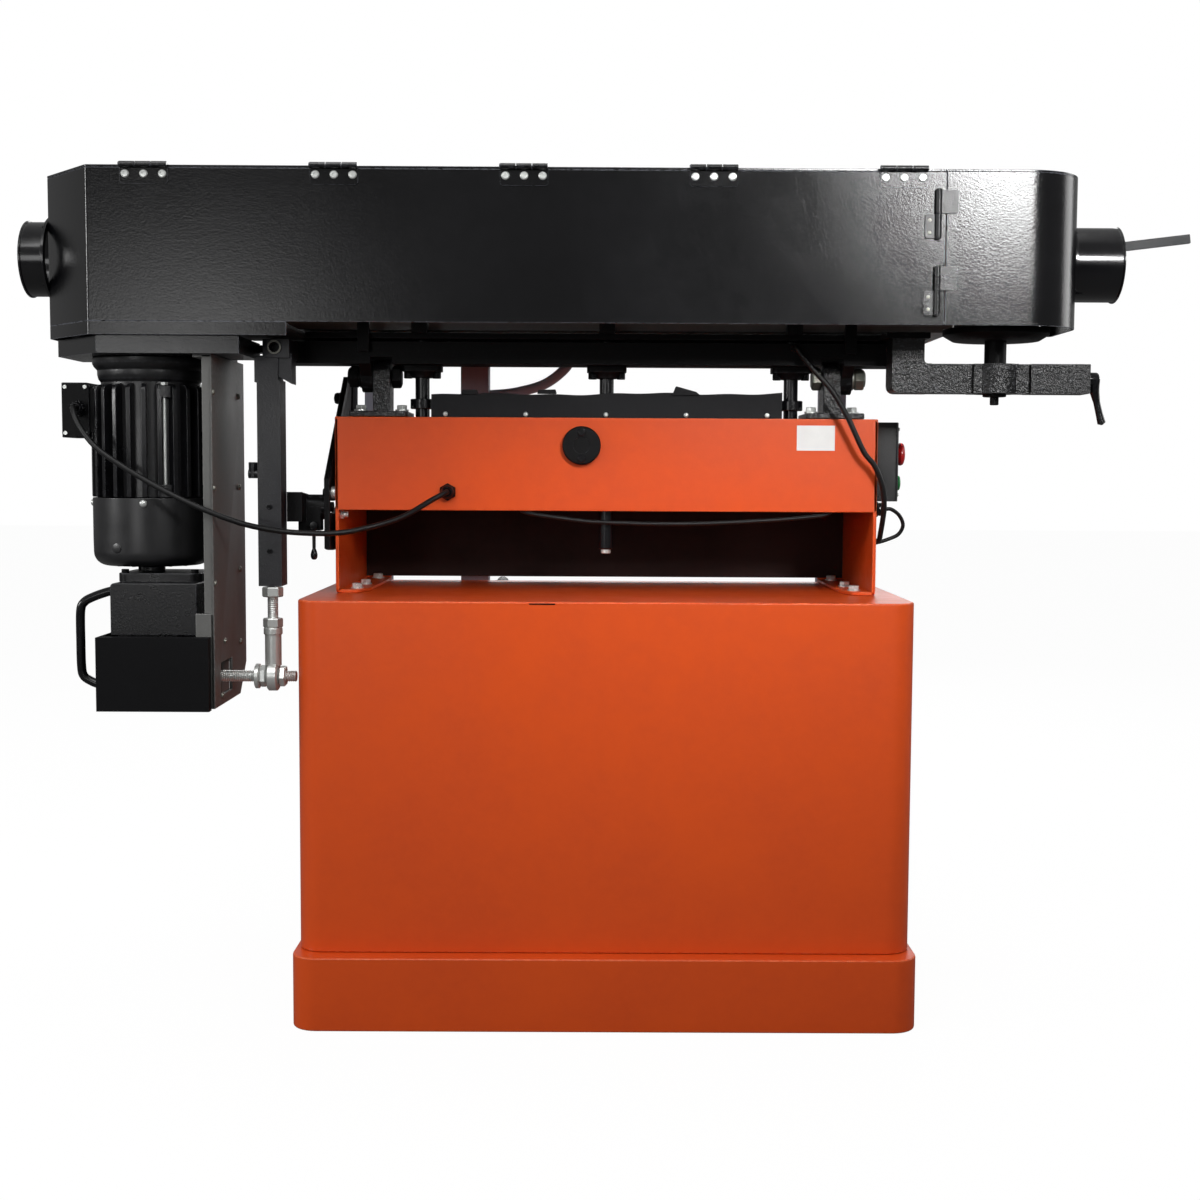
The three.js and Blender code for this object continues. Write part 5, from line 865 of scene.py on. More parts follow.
# %% Cap and glands
CAP_PLACE = (-35, 787)
GLAND_RIBS = 12
cap_face = -92.3
cap_profile = [(27, -82.3), (27, cap_face + 1.6), (25.2, cap_face), (12, cap_face), (11.4, cap_face + 0.4)]
build(
    "round_cap_disc", [spin("y", cap_profile, *CAP_PLACE, 64)], flat_black, "base",
    ["round_cap"]
)
cap_screws = [
    socket_screw("y", cap_face + 0.8, -1, CAP_PLACE[0], CAP_PLACE[1] + side, 5.6, 2.8, 0.8)
    for side in (-18.5, 18.5)
]
build("round_cap_screws", cap_screws, gloss_black, "base", edge=0.2)


def gland(axis, face, way, across, up, reach, radius=8.5, foot=11):
    """The foot, ribbed nut and seal of a cable gland."""
    nut = face + way * 7
    shares = ((1, 4), (0.82, 1), (0.66, 0), (0.5, 2))
    profile = [(radius, nut), *[(radius * share, face + way * (reach - back)) for share, back in shares]]
    body = [hexagon(axis, foot, face, nut, across, up, turn=30), spin(axis, profile, across, up, 40)]
    for rib in range(GLAND_RIBS):
        at = on_circle((across, up), radius + 0.1, 2 * math.pi * rib / GLAND_RIBS)
        body.append(rod(axis, 0.9, face + way * 7.5, face + way * (reach - 4.5), *at, 8))
    return body


build(
    "rear_gland_nut", gland("y", -82.3, -1, -223, 721, 16, 9.4, 12.4), gloss_black, "base",
    ["rear_gland"], edge=0.3
)
build(
    "side_gland_nut", gland("x", 382.3, 1, -50, 699, 16), gloss_black, "base",
    ["side_gland"], edge=0.3
)
build("wall_grommets", [
    spin("x", [(6.5, 382.1), (6.5, 383.2), (4.6, 384.2), (3.2, 383.0)], -52, 653, 32),
    spin("x", [(5.6, 382.1), (5.6, 383.0), (3.9, 383.8), (2.4, 382.9)], -38, 651, 32),
], cord_rubber, "base", edge=0)
print("glands in place")

# %% Switch box and buttons
STOP = (17, 779)
START = (11, 736)
BUTTON_FACE = 434.8
build("switch_case", [
    push(plate_round(382.3, 430.7, 25, 105, 5), "z", 709, 825),
    push(plate_round(30, 100, 714, 820, 4, 5), "x", 430, 431.3),
], black_coat, "base", ["switch_box"], edge=1.2, segments=3)
collars = []
for radius, height in (STOP, START):
    profile = [
        (radius + 4.5, 431.0), (radius + 4.5, 433.2), (radius + 3, 434), (radius + 1, 434),
        (radius + 1, 431.0)
    ]
    collars.append(spin("x", profile, 65, height, 48, closed=True))
build("switch_collars", collars, flat_black, "base", edge=0.2)
build("switch_screws", [socket_screw("x", 431.2, 1, a, b, 2.6, 1.6) for b in (719, 815) for a in (34, 96)],
      zinc_steel, "base", edge=0.1)
for body, paint, slot, (radius, height), head in (
    ("stop", red_plastic, "red_plastic", STOP, 11), ("start", green_plastic, "green_plastic", START, 5.5),
):
    shares = ((0.8, 0), (1, 0.35), (1, 0.62), (0.9, 0.85), (0.66, 0.97), (0.2, 1))
    knob = spin("x", [(radius * r, BUTTON_FACE + head * x) for r, x in shares], 65, height, 56)
    stem = rod("x", 5.9, BUTTON_FACE - 13, BUTTON_FACE + 1, 65, height)
    build(body + "_knob", [knob, stem], paint, body, [body + "_button"], edge=0.4)
print("switch box done")

# %% [markdown]
# ## The table and its lift
# An iron table slides up and down at the front on three square columns. A small
# pinion on the handwheel's shaft climbs a rack on the middle one. These packed
# solids are already right, so they keep their shape and take softened edges.

# %% Table and lift
dress("lift_frame", cast_iron, edge=1.2)
dress("work_table", machined_iron, edge=1.0)
for node in ("guide_column_left", "guide_column_right", "lift_column"):
    dress(node, grey_paint, edge=0.8)
dress("handwheel", gloss_black, edge=0.5)
BRACE_ROUTE = [(-185.7, 254.9, 872.7), (-177.7, 254.9, 872.7), (-143, 254.9, 876.7), (-96.1, 254.9, 890.7),
               (-61.7, 254.9, 918.7), (-57.7, 254.9, 940.7), (-57.7, 254.9, 948.5)]
build(
    "brace_tube", [tube(smooth_line(BRACE_ROUTE, 48), 8, 28)], grey_paint, "table",
    ["table_brace"], edge=0
)
print("table dressed")

# %% [markdown]
# ## Pivots, quadrant and dust flap
# Two cast brackets on the frame carry the pivot bolts that the head tilts on. On
# the left a black plate with a curved slot guides the tilt clamp. A rubber flap
# keeps dust off the works between the brackets; it is thin, so it is a slightly
# wavy sheet with three small tabs, held by five small screws.

# %% Brackets and pivot bolts
TILT_Y = -52
TILT_Z = 883


def lug(start, end, radius, foot_half, foot):
    """A cast lug: straight sides up to a round head about the tilt axis."""
    side = [(TILT_Y - foot_half, foot), (TILT_Y + foot_half, foot)]
    head = arc(TILT_Y, TILT_Z, radius, -8, 188, 28)
    return push(side + head, "x", start, end)


bracket_parts = [
    push(plate_round(281, 363, -81.7, 20, 5, 4), "z", 826.3, 834.3),
    lug(305, 329.4, 24, 22, 833),
    push([(-30, 834), (-10, 834), (-28, 852)], "x", 311, 323),
]
for word, shapes in (("left", [mirror(shape) for shape in bracket_parts]), ("right", bracket_parts)):
    build(f"bracket_{word}", shapes, rough_cast, "base", [f"pivot_bracket_{word}"],
          edge=1.6, segments=3)
plate_bolts = []
for place in (290, 348):
    plate_bolts += both(hexagon("z", 8, 837, 843, place, -58, turn=20))
    plate_bolts += both(rod("z", 9.5, 834.3, 836.9, place, -58))
build("bracket_bolts", plate_bolts, zinc_steel, "base", edge=0.3)
pivot_parts = [
    rod("x", 15.5, 346.3, 349.6, TILT_Y, TILT_Z, 48),
    hexagon("x", 16.5, 349.7, 364.5, TILT_Y, TILT_Z, turn=10),
    spin("x", [(11.5, 364.5), (10.5, 366.4), (1, 366.6)], TILT_Y, TILT_Z, 40),
    rod("x", 9.9, 292, 350, TILT_Y, TILT_Z),
    hexagon("x", 16.5, 290.6, 304.2, TILT_Y, TILT_Z, turn=20),
]
build("pivot_bolt_l", [mirror(part) for part in pivot_parts], flat_black, "cradle",
      ["pivot_bolt_left"], edge=0.5)
build("pivot_bolt_r", pivot_parts, dull_zinc, "cradle", ["pivot_bolt_right"], edge=0.5)
print("pivots at", TILT_Y, TILT_Z)

# %% Quadrant plate
QUADRANT_X = -392
SLOT_START = 259
SLOT_END = 359
RIM = 246
REAR_EDGE = 41
start_angle = 180 + math.degrees(math.acos(REAR_EDGE / RIM))
rim_line = [
    (TILT_Y + 148, TILT_Z + 8), (TILT_Y - REAR_EDGE, TILT_Z - 144),
    *arc(TILT_Y, TILT_Z, RIM, start_angle, 360, 40), (TILT_Y + RIM, TILT_Z + 8),
]


def slotted_plate(name, outer, opening, axis_x, thickness, finish, body, node):
    """A plate with one opening, drawn as a filled flat curve in the plane of Y and Z."""
    edge = 0.8
    drawing = bpy.data.curves.new(name, "CURVE")
    drawing.dimensions = "2D"
    drawing.fill_mode = "BOTH"
    drawing.extrude = (thickness / 2 - edge) * MM
    drawing.bevel_depth = edge * MM
    drawing.bevel_resolution = 1
    drawing.offset = -edge * MM
    for line in (outer, opening):
        spline = drawing.splines.new("POLY")
        spline.points.add(len(line) - 1)
        spline.use_cyclic_u = True
        for point, (a, b) in zip(spline.points, line):
            point.co = (a * MM, b * MM, 0, 1)
    holder = into_scene(name + "_drawing", drawing)
    evaluated = holder.evaluated_get(bpy.context.evaluated_depsgraph_get())
    mesh = bpy.data.meshes.new_from_object(evaluated)
    bpy.data.objects.remove(holder)
    mesh.transform(Matrix(((0, 0, 1, axis_x * MM), (1, 0, 0, 0), (0, 1, 0, 0), (0, 0, 0, 1))))
    turn_outwards(mesh, join=TOUCHING / 2)
    mesh.set_sharp_from_angle(angle=SHARP)
    mesh.materials.clear()
    mesh.materials.append(finish)
    declare(into_scene(name, mesh), body, [node])


curved_slot = [
    *arc(TILT_Y, TILT_Z, 194, SLOT_START, SLOT_END, 48), *arc(TILT_Y, TILT_Z, 176, SLOT_END, SLOT_START, 48),
]
slotted_plate("quadrant", rim_line, curved_slot, QUADRANT_X, 8, flat_black, "base",
              "quadrant_plate")
spacer_places = [
    on_circle((TILT_Y, TILT_Z), radius, math.radians(angle))
    for radius, angle in ((165.4, 263), (165.4, 322), (204.6, 300), (204.6, 336))
]
build("quadrant_spacers", [rod("x", 9, -388.2, -382.4, *at) for at in spacer_places],
      zinc_steel, "base", edge=0.4)
build("quadrant_screws", [socket_screw("x", -396, -1, *at, 6, 4.5, 0.8) for at in spacer_places],
      flat_black, "base", edge=0.3)
stop_profile = [(8.6, -402), (8.6, -407), (7.2, -410), (3, -411.2), (0.5, -411.4)]
build("quadrant_stop", [rod("x", 9.5, -402, -396, 104, 859), spin("x", stop_profile, 104, 859, 40)],
      flat_black, "base", edge=0.4)
print("slot reaches over", SLOT_END - SLOT_START, "degrees")

# %% Dust flap
FLAP_STEPS = 60
FLAP_LONG = 494
flap_rings = []
for step in range(FLAP_STEPS + 1):
    x = -FLAP_LONG / 2 + FLAP_LONG * step / FLAP_STEPS
    rise = 858 + 3.5 * step / FLAP_STEPS + 1.2 * math.sin(x / 37) + 0.8 * math.sin(x / 13 + 1)
    lean = 2.2 * math.sin(x / 51 + 0.6)
    flap_rings.append([
        (x, -76.7, 812), (x, -76.7, 834), (x, -76.4 + lean * 0.4, 846), (x, -75.6 + lean, rise),
        (x, -73.0 + lean, rise), (x, -73.6 + lean * 0.4, 846), (x, -73.2, 834), (x, -73.2, 812),
    ])
flap = build("rubber_flap", [skinned(flap_rings)], flap_rubber, "base", ["dust_flap"], edge=0.35)
tabs = build("flap_tab", [
    push(rounded([(92, 858, 1), (97, 871, 2), (126, 863, 1), (132, 858, 1)], 4), "y", -79, -76.6),
    push(rounded([(-205, 858, 1), (-203, 864.5, 1), (-182, 864.5, 1), (-180, 858, 1)], 3), "y", -78.5, -76.2),
    push(rounded([(-98, 859, 1), (-96, 865, 1), (-72, 865.5, 1), (-70, 859, 1)], 3), "y", -78.5, -76.2),
], flap_rubber, "base", edge=0.5)
for soft in (flap, tabs):
    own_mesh(soft)
flap_screw = [(3.4, -76.7), (3.2, -78.1), (2.2, -79), (0.4, -79.2)]
build("flap_screws", [spin("y", flap_screw, x, 830.5, 24) for x in (-227, -114, -1, 112, 226)],
      zinc_steel, "base", edge=0)
print("flap is", FLAP_LONG, "mm long")

# %% [markdown]
# ## The tilting beam
# The cradle is a steel channel that lies under the head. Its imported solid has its
# lugs and the right form, so it is kept, with softened edges, and so is the post of
# the rocking linkage. The bushings and the posts that slide in them are turned.

# %% Beam and bushings
dress("cradle_beam", flat_black, edge=1.0)
POSTS = ((-261.5, "left", 720), (0, "middle", 640), (261.5, "right", 720))
sleeve_profile = [
    (10.4, 881.7), (14.4, 881.7), (15.6, 883), (17, 886.5), (20, 890.7), (15.2, 898.5), (15, 929.8),
    (10.4, 929.8),
]
for x, word, _ in POSTS:
    pad = push(plate_round(x - 28, x + 28, -72, -32, 7, 5), "z", 890.7, 898.7)
    sleeve = spin("z", sleeve_profile, x, TILT_Y, 48, closed=True)
    screws = [hexagon("z", 6.5, 881, 890.8, x + end * 20, TILT_Y, turn=15) for end in (-1, 1)]
    build(f"bushing_{word}", [pad, sleeve, *screws], flat_black, "cradle",
          [f"guide_bushing_{word}"], edge=0.7)
collar_profile = [(10.1, 838), (16.2, 838), (17, 838.8), (17, 851.2), (16.2, 852), (10.1, 852)]
for x, word, foot in POSTS:
    shaft = spin("z", [(8.6, foot), (10, foot + 1.6), (10, 941.6)], x, TILT_Y, 48)
    collar = spin("z", collar_profile, x, TILT_Y, 48, closed=True)
    screw = socket_screw("y", -68.6, -1, x, 845, 2.6, 1.0)
    build(f"post_{word}", [shaft, collar, screw], gloss_black, "head",
          [f"guide_post_{word}"], edge=0.3)
    tip = spin("z", [(6.2, foot - 5.8), (7, foot - 5), (7, foot + 0.2)], x, TILT_Y, 32)
    build(f"post_tip_{word}", [tip], zinc_steel, "head", edge=0)
print("posts:", len(POSTS))

# %% Link post and tilt arm
dress("link_post", link_coat, edge=0.9)
dress("tilt_arm", flat_black, edge=0.9)
HOOK = (-449.8, 916)
HANDLE = (-410.5, -92.4)
washer = spin("y", [(7.0, -168.2), (9.4, -168.2), (9.4, -166.0), (7.0, -166.0)], *HOOK, 36, closed=True)
build("hook_washer", [washer], dull_zinc, "cradle", edge=0.2)
build("link_screws", [socket_screw("y", -165, -1, -459, z, 3.2, 2.2) for z in (700, 640)],
      flat_black, "cradle", edge=0.2)
knob_profile = [(1, 624.9), (3.2, 625.6), (4.6, 628.4), (4.9, 632.4), (3.8, 637), (2.6, 640)]
build("tilt_clamp_handle", [
    spin("y", [(6, -86.5), (6, -94.5), (5.2, -96), (1, -96.2)], HANDLE[0], 673.2, 32),
    spin("z", [(2.9, 629), (2.4, 640), (2.6, 673)], *HANDLE, 24),
    spin("z", knob_profile, *HANDLE, 32),
], gloss_black, "tilt_handle", ["tilt_lever"], edge=0.2)
print("link post dressed")

# %% [markdown]
# ## The rod end and crank stud
# Bright zinc-plated hardware joins the linkage: a threaded rod with two lock nuts,
# a ball eye, and a long stud that runs to the gearbox. Threads and nut corners
# carry the highlights here, so they are real ridges and not a bump.

# %% Rod end and stud
ROD = (-455, -165.75)
EYE = (ROD[1], 469)
eye_profile = [(8.4, -462.5), (17.6, -462.5), (20, -460.6), (20, -449.4), (17.6, -447.5), (8.4, -447.5)]
ball_profile = [
    (8.3, -463.8), (10.6, -463.2), (13.6, -459.6), (14.6, -455), (13.6, -450.4), (10.6, -446.8),
    (8.3, -446.2),
]
rod_parts = [
    threaded("z", 7.5, 545, 591.7, *ROD, pitch=2.5),
    hexagon("z", 14.4, 577.7, 591.7, *ROD, turn=12),
    hexagon("z", 13.6, 536, 549, *ROD, turn=8),
    spin("z", [(11.2, 484), (11.2, 526), (12.8, 527.4), (12.8, 534.6), (11.8, 536)], *ROD, 48),
    spin("x", eye_profile, *EYE, 64, closed=True),
    spin("x", ball_profile, *EYE, 48, closed=True),
]
build("rod_end_eye", rod_parts, zinc_steel, "cradle", ["rod_end"], edge=0.35)
stud_parts = [
    threaded("x", 8, -552.6, -480, *EYE, pitch=2.5),
    rod("x", 7.9, -480, -440, *EYE),
    threaded("x", 7.6, -440, -423.2, *EYE, pitch=2.5),
    hexagon("x", 15, -472.8, -463.9, *EYE, turn=25),
    hexagon("x", 15, -446.1, -437.2, *EYE, turn=5),
    hexagon("x", 15, -543, -533, *EYE, turn=18),
    spin("x", [(15.4, -479.4), (17, -478.6), (17, -473.9), (15.4, -473)], *EYE, 48),
]
build("crank_stud_bar", stud_parts, zinc_steel, "cradle", ["crank_stud"], edge=0.3)
dress("crank_disc", zinc_steel, edge=0.5)
print("linkage eye at", EYE[1])

# %% [markdown]
# ## The black head
# The head is a long sheet-metal cover with one chamfered corner, closed by a hinged
# lid on top and by a door round the idler drum. Each sheet is a thin ribbon that is
# bent along its plan and pushed upwards, because the real one is folded from plate
# and its bends catch a narrow line of light.

# %% Rear cover
COVER_REAR = -257
COVER_LEFT = -752
SEAM = 435.6
COVER_FOOT = 942.3
COVER_HEAD = 1138
SKIRT_FOOT = 924.6
SKIRT_END = -417
HINGE_Y = -261.3


def cover_line(end):
    """The cover's plan, from its front left corner along the rear to an end."""
    corners = [
        (-505, -42), (COVER_LEFT, -42, 4), (COVER_LEFT, -166, 6), (-674, COVER_REAR, 6),
        (end, COVER_REAR)
    ]
    return ribbon(rounded(corners, 5), 3)


build("cover_wall", [
    push(cover_line(SEAM), "z", COVER_FOOT, COVER_HEAD),
    push(cover_line(SKIRT_END), "z", SKIRT_FOOT, COVER_FOOT + 0.05),
], head_coat, "head", ["rear_cover"], edge=0.7)


def bent_leaf(x0, x1, z0, z1):
    """A hinge leaf that lies on the rear wall, with round lower corners."""
    outline = rounded([(x0, z0, 4), (x1, z0, 4), (x1, z1), (x0, z1)], 5)
    return push(outline, "y", COVER_REAR - 1.6, COVER_REAR - 0.05)


HINGES = [-598 + 244.5 * place for place in range(5)]
HINGE_LONG = 62
HINGE_Z = 1141
third = HINGE_LONG / 3
rivet_foot = COVER_REAR - 1.6
rivet_profile = [(5.4, rivet_foot), (5.2, rivet_foot - 1.4), (4.0, rivet_foot - 2.4), (2.6, rivet_foot - 2.5),
                 (2.4, rivet_foot - 1.4), (0.4, rivet_foot - 1.4)]
leaves, rivets, cover_knuckles, lid_knuckles = [], [], [], []
for middle in HINGES:
    low = middle - HINGE_LONG / 2
    leaves.append(bent_leaf(low, low + HINGE_LONG, 1117, 1138))
    for part in range(3):
        span = ("x", 4, low + part * third + 0.3, low + (part + 1) * third - 0.3, HINGE_Y, HINGE_Z, 24)
        (lid_knuckles if part == 1 else cover_knuckles).append(rod(*span))
    cover_knuckles.append(spin("x", [(3.2, low - 0.9), (3.2, low + 0.2)], HINGE_Y, HINGE_Z, 20))
    for step in (-24, 0, 24):
        rivets.append(spin("y", rivet_profile, middle + step, 1129.5, 28))
build("cover_hinge_leaves", [*leaves, *cover_knuckles], head_coat, "head", edge=0.25)
build("hinge_rivets", rivets, zinc_steel, "head", edge=0)
print("hinges on the lid:", len(HINGES))

# %% Door hinge halves on the cover
DOOR_AXIS = 425
DOOR_HINGES = (955, 1053)
LOWER_HALF = 30.6
UPPER_HALF = 31.4
DOOR_HINGE_LONG = 62


def lift_off_half(foot, top, reach):
    """The leaf of half a door hinge, which reaches to one side of the axis."""
    leaf = [(DOOR_AXIS, foot), (DOOR_AXIS + reach, foot, 3), (DOOR_AXIS + reach, top, 3), (DOOR_AXIS, top)]
    if reach < 0:
        leaf = [leaf[1], leaf[0], leaf[3], leaf[2]]
    return push(rounded(leaf, 4), "y", COVER_REAR - 2.1, COVER_REAR - 0.05)


halves = []
for foot in DOOR_HINGES:
    halves.append(rod("z", 4, foot + 0.4, foot + LOWER_HALF, DOOR_AXIS, HINGE_Y, 24))
    halves.append(lift_off_half(foot, foot + LOWER_HALF, -17))
    halves.append(spin("z", [(3, foot - 1), (3, foot + 0.6)], DOOR_AXIS, HINGE_Y, 20))
build("cover_hinge_halves", halves, black_coat, "head", edge=0.35)
tip_profile = [(2.4, -259.1), (2, -259.9), (0.4, -260)]
tips = [spin("y", tip_profile, DOOR_AXIS - 11, foot + z, 16) for foot in DOOR_HINGES for z in (7, 23)]
build("leaf_screw_tips", tips, dull_zinc, "head", edge=0)
print("hinges on the door:", len(DOOR_HINGES))

# %% Plate, tray and left port
dress("head_plate", flat_black, edge=0.8)
dress("drive_tray", head_coat, edge=0.8)
PORT = (-132, 1035)


def dust_port(side, profile, face, way, body, stands_for=()):
    """A turned port and its four screws on the flange."""
    build(f"{side}_port", [spin("x", profile, *PORT, 72, closed=True)], port_gloss, body,
          stands_for, edge=0.3)
    screws = [
        socket_screw("x", face, way, *on_circle(PORT, 53.6, a), 2.4, 1.6)
        for a in (0.8, 2.36, 3.93, 5.5)
    ]
    build(f"{side}_port_screws", screws, flat_black, body, edge=0.1)


left_profile = [(47, -752.4), (57, -752.4), (57, -756), (56.4, -756.4), (50, -756.4), (50, -784.6),
                (51.6, -785.4), (51.6, -787.6), (50.8, -788.3), (47.6, -788.3), (47, -787.4)]
dust_port("left", left_profile, -756.4, -1, "head", ["dust_port_left"])
print("head sheets made")

# %% [markdown]
# ## Belt and drums
# The sanding belt is one endless strip round a driven drum and an idler. Its plan is
# two arcs joined by straight runs, and the strip has a real thickness. The operator
# sees it from the front, in front of its iron platen.

# %% Belt
DRIVE = (-626, -132, 70)
IDLER = (534, -125.5, 63.5)
BELT_FOOT = 964
BELT_HEAD = 1114
between = Vector((IDLER[0] - DRIVE[0], IDLER[1] - DRIVE[1]))
tilt = math.degrees(math.atan2(between.y, between.x) + math.asin((DRIVE[2] - IDLER[2]) / between.length))


def belt_line(offset):
    drive_side = arc(DRIVE[0], DRIVE[1], DRIVE[2] + offset, 90, 270 + tilt, 40)
    idler_side = arc(IDLER[0], IDLER[1], IDLER[2] + offset, tilt - 90, 90, 40)
    return drive_side + idler_side


belt_rings = []
for inner, outer in zip(belt_line(0.3), belt_line(1.5)):
    belt_rings.append([(*outer, BELT_FOOT), (*outer, BELT_HEAD), (*inner, BELT_HEAD), (*inner, BELT_FOOT)])
build(
    "abrasive_belt", [skinned(belt_rings, closed=True)], belt_cloth, "head",
    ["sanding_belt"], edge=0
)
dress("platen", cast_iron, edge=1.2)
print("belt slants by", round(tilt, 2), "degrees")

# %% Drums and carriage
drum_profile = [
    (12.2, 958), (69, 958), (70, 959), (70, 1119), (69, 1120), (64, 1120), (63.4, 1119), (63.4, 1106),
    (30, 1106), (28, 1107), (28, 1113), (26, 1114), (0.4, 1114)
]
blade_shape = slab(12, 57, -1.5, 1.5, 647, 675)
build("drive_drum_turned", [
    spin("z", drum_profile, *DRIVE[:2], 96), rod("z", 12, 593.4, 958.2, *DRIVE[:2]),
    rod("z", 27.5, 730.5, 849.5, *DRIVE[:2]),
    spin("z", [(16, 646), (18, 647), (18, 675), (16, 676)], *DRIVE[:2]),
    *[moved(blade_shape, about(DRIVE, 60 * blade)) for blade in range(6)],
], ground_steel, "drive", ["drive_drum"], edge=0.4)
idler_profile = [
    (10.5, 958), (62.5, 958), (63.5, 959), (63.5, 1119), (62.5, 1120), (57, 1120), (56.5, 1119), (56.5, 1108),
    (24, 1108), (23, 1109), (23, 1116), (22, 1117), (10.5, 1117),
]
build("idler_drum_turned", [spin("z", idler_profile, *IDLER[:2], 96, closed=True)],
      ground_steel, "idler", ["idler_drum"], edge=0.4)
carriage_profile = [
    (59, 932), (70.6, 939), (72, 940), (72, 947.4), (71, 948), (58, 948.2), (57, 956.6), (20, 957.2),
    (10, 957.4), (10, 1119.8), (9, 1120.3),
]
build("carriage_turned", [
    spin("z", carriage_profile, *IDLER[:2], 80),
    rod("z", 14.9, 859.7, 932.3, *IDLER[:2]),
    spin("z", [(14.6, 855.8), (16, 856.4), (16, 859.5)], *IDLER[:2]),
    spin("z", [(5, 844.7), (6, 845.6), (6, 856)], *IDLER[:2], 24),
], flat_black, "carriage", ["idler_carriage"], edge=0.4)
print("drums:", DRIVE[2], IDLER[2])

# %% Idler arm and its clamp lever
dress("idler_arm", rough_cast, edge=1.6)
CLAMP = (-134.5, 880)
handle_line = [(x, CLAMP[0], z) for x, z in ((668, 880), (669, 866), (673, 848), (677, 832), (681, 818))]
handle_radii = (8.4, 6.6, 4.6, 4.8, 5.8)


def tapered(points, radii, steps):
    """A round bar whose radius changes along a smooth line, with a rounded end."""
    sides = 20
    end_share = 0.04
    line = smooth_line(points, steps)
    corners, faces = tube(line, 1.0, sides)
    swollen = []
    for place, corner in enumerate(corners):
        ring = place // sides
        share = ring / steps * (len(radii) - 1)
        low = min(int(share), len(radii) - 2)
        radius = radii[low] + (radii[low + 1] - radii[low]) * (share - low)
        radius *= min(1, math.sqrt(max(1 - max(ring / steps - 1 + end_share, 0) / end_share, 0.02)))
        centre = line[ring]
        swollen.append(tuple(centre + (Vector(corner) - centre) * radius))
    return swollen, faces


build("arm_clamp_handle", [
    spin("x", [(8.4, 659.4), (9.6, 660.8), (9.6, 671), (8.4, 673.2), (5, 674)], *CLAMP, 40),
    tapered(handle_line, handle_radii, 24),
], gloss_black, "clamp", ["arm_clamp_lever"], edge=0.3)
build("arm_clamp_centre", [spin("x", [(4.6, 673.8), (4.4, 675.2), (3, 675.6), (0.3, 675.7)], *CLAMP, 24),
                           rod("x", 4, 655, 660, *CLAMP, 20)], zinc_steel, "clamp", edge=0)

# %% Tension lever
bar_long = math.hypot(68, 66)
bar_corners = [(0, -6.5), (bar_long + 5, -6.5, 3), (bar_long + 5, 6.5, 3), (0, 6.5)]
bar_angle = math.degrees(math.atan2(66, 68))
rise = Matrix.Translation((595.5, -59.5, 1054.1)) @ Matrix.Rotation(math.radians(-7), 4, "Y")
pivot_profile = [(10.4, 1120.8), (15, 1121.4), (15, 1135), (14.2, 1135.6), (10.4, 1135.6)]
build("tension_lever_bar", [
    spin("z", pivot_profile, *IDLER[:2], 48, closed=True),
    moved(push(rounded(bar_corners, 4), "z", 1121.6, 1134.6), about(IDLER, bar_angle)),
    push(plate_round(595.6, 608.4, -62.4, -56.6, 1.5, 3), "z", 1047.8, 1134.4),
    moved(push(plate_round(0, 226, -6.4, 6.4, 1.4, 3), "y", -3, 3), rise),
], lever_grey, "tension", ["tension_lever"], edge=0.5)
print("levers done")

# %% [markdown]
# ## The motor
# The motor hangs under the drive tray, its shaft up. Its cast body has tall cooling
# ribs, and a drawn steel cowl with a soft lower edge covers the fan. The ribs are
# flat fins with round upper ends, set round the core by a loop.

# %% Motor body
MOTOR = (-626, -132)
RIBS = 24
FOOT_ANGLES = (-62, -8, 118, 172)
core_profile = [
    (31.5, 712.3), (66, 712.3), (66, 868), (69, 872), (70.5, 878), (70.5, 884), (75, 889), (77, 893),
    (77, 900.6), (76, 901.2), (31.5, 901.2),
]
fin = push([(62, 713), (79, 713), (79.6, 715), *arc(70.6, 855, 9, 0, 80, 6), (62, 866)], "y", -3.1, 3.1)
fins = [moved(fin, about(MOTOR, 360 * place / RIBS + 7.5)) for place in range(RIBS)]
feet, rods = [], []
for angle in FOOT_ANGLES:
    for low, high in ((713, 730), (846, 862)):
        feet.append(moved(push(plate_round(60, 79.5, -9, 9, 3, 4), "z", low, high), about(MOTOR, angle)))
    at = on_circle(MOTOR, 74, math.radians(angle))
    rods += [rod("z", 2.6, 728, 848, *at, 16), hexagon("z", 5, 862, 866.5, *at, turn=angle)]
build("motor_casting", [spin("z", core_profile, *MOTOR, 96, closed=True), *fins, *feet], motor_black, "head",
      ["motor_body"], edge=0.9, segments=3)
build("motor_tie_rods", rods, zinc_steel, "head", edge=0.2)
print("cooling ribs:", RIBS)

# %% Fan cowl
VENTS = 14
cowl_curve = [on_circle((60, 638), 18.6, math.radians(a - 90)) for a in range(8, 91, 8)]
cowl_profile = [
    (28.5, 622), (28.5, 619.6), (30, 619.3), (60, 619.4), *cowl_curve, (78.7, 640), (79, 655), (79, 711.4),
    (78.6, 712), (76.6, 712), (76.6, 640), (62, 624), (30.5, 622.4),
]
build("cowl_shell", [spin("z", cowl_profile, *MOTOR, 96, closed=True)], cowl_black, "head",
      ["fan_cowl"], edge=0.3)
screw = spin("x", [(5, 78.9), (5, 80), (4, 81.6), (2.4, 82.4), (0.6, 82.6)], 0, 705, 28)
build("cowl_screws", [moved(screw, about(MOTOR, angle)) for angle in (-84, -174, 6, 96)],
      zinc_steel, "head", edge=0)
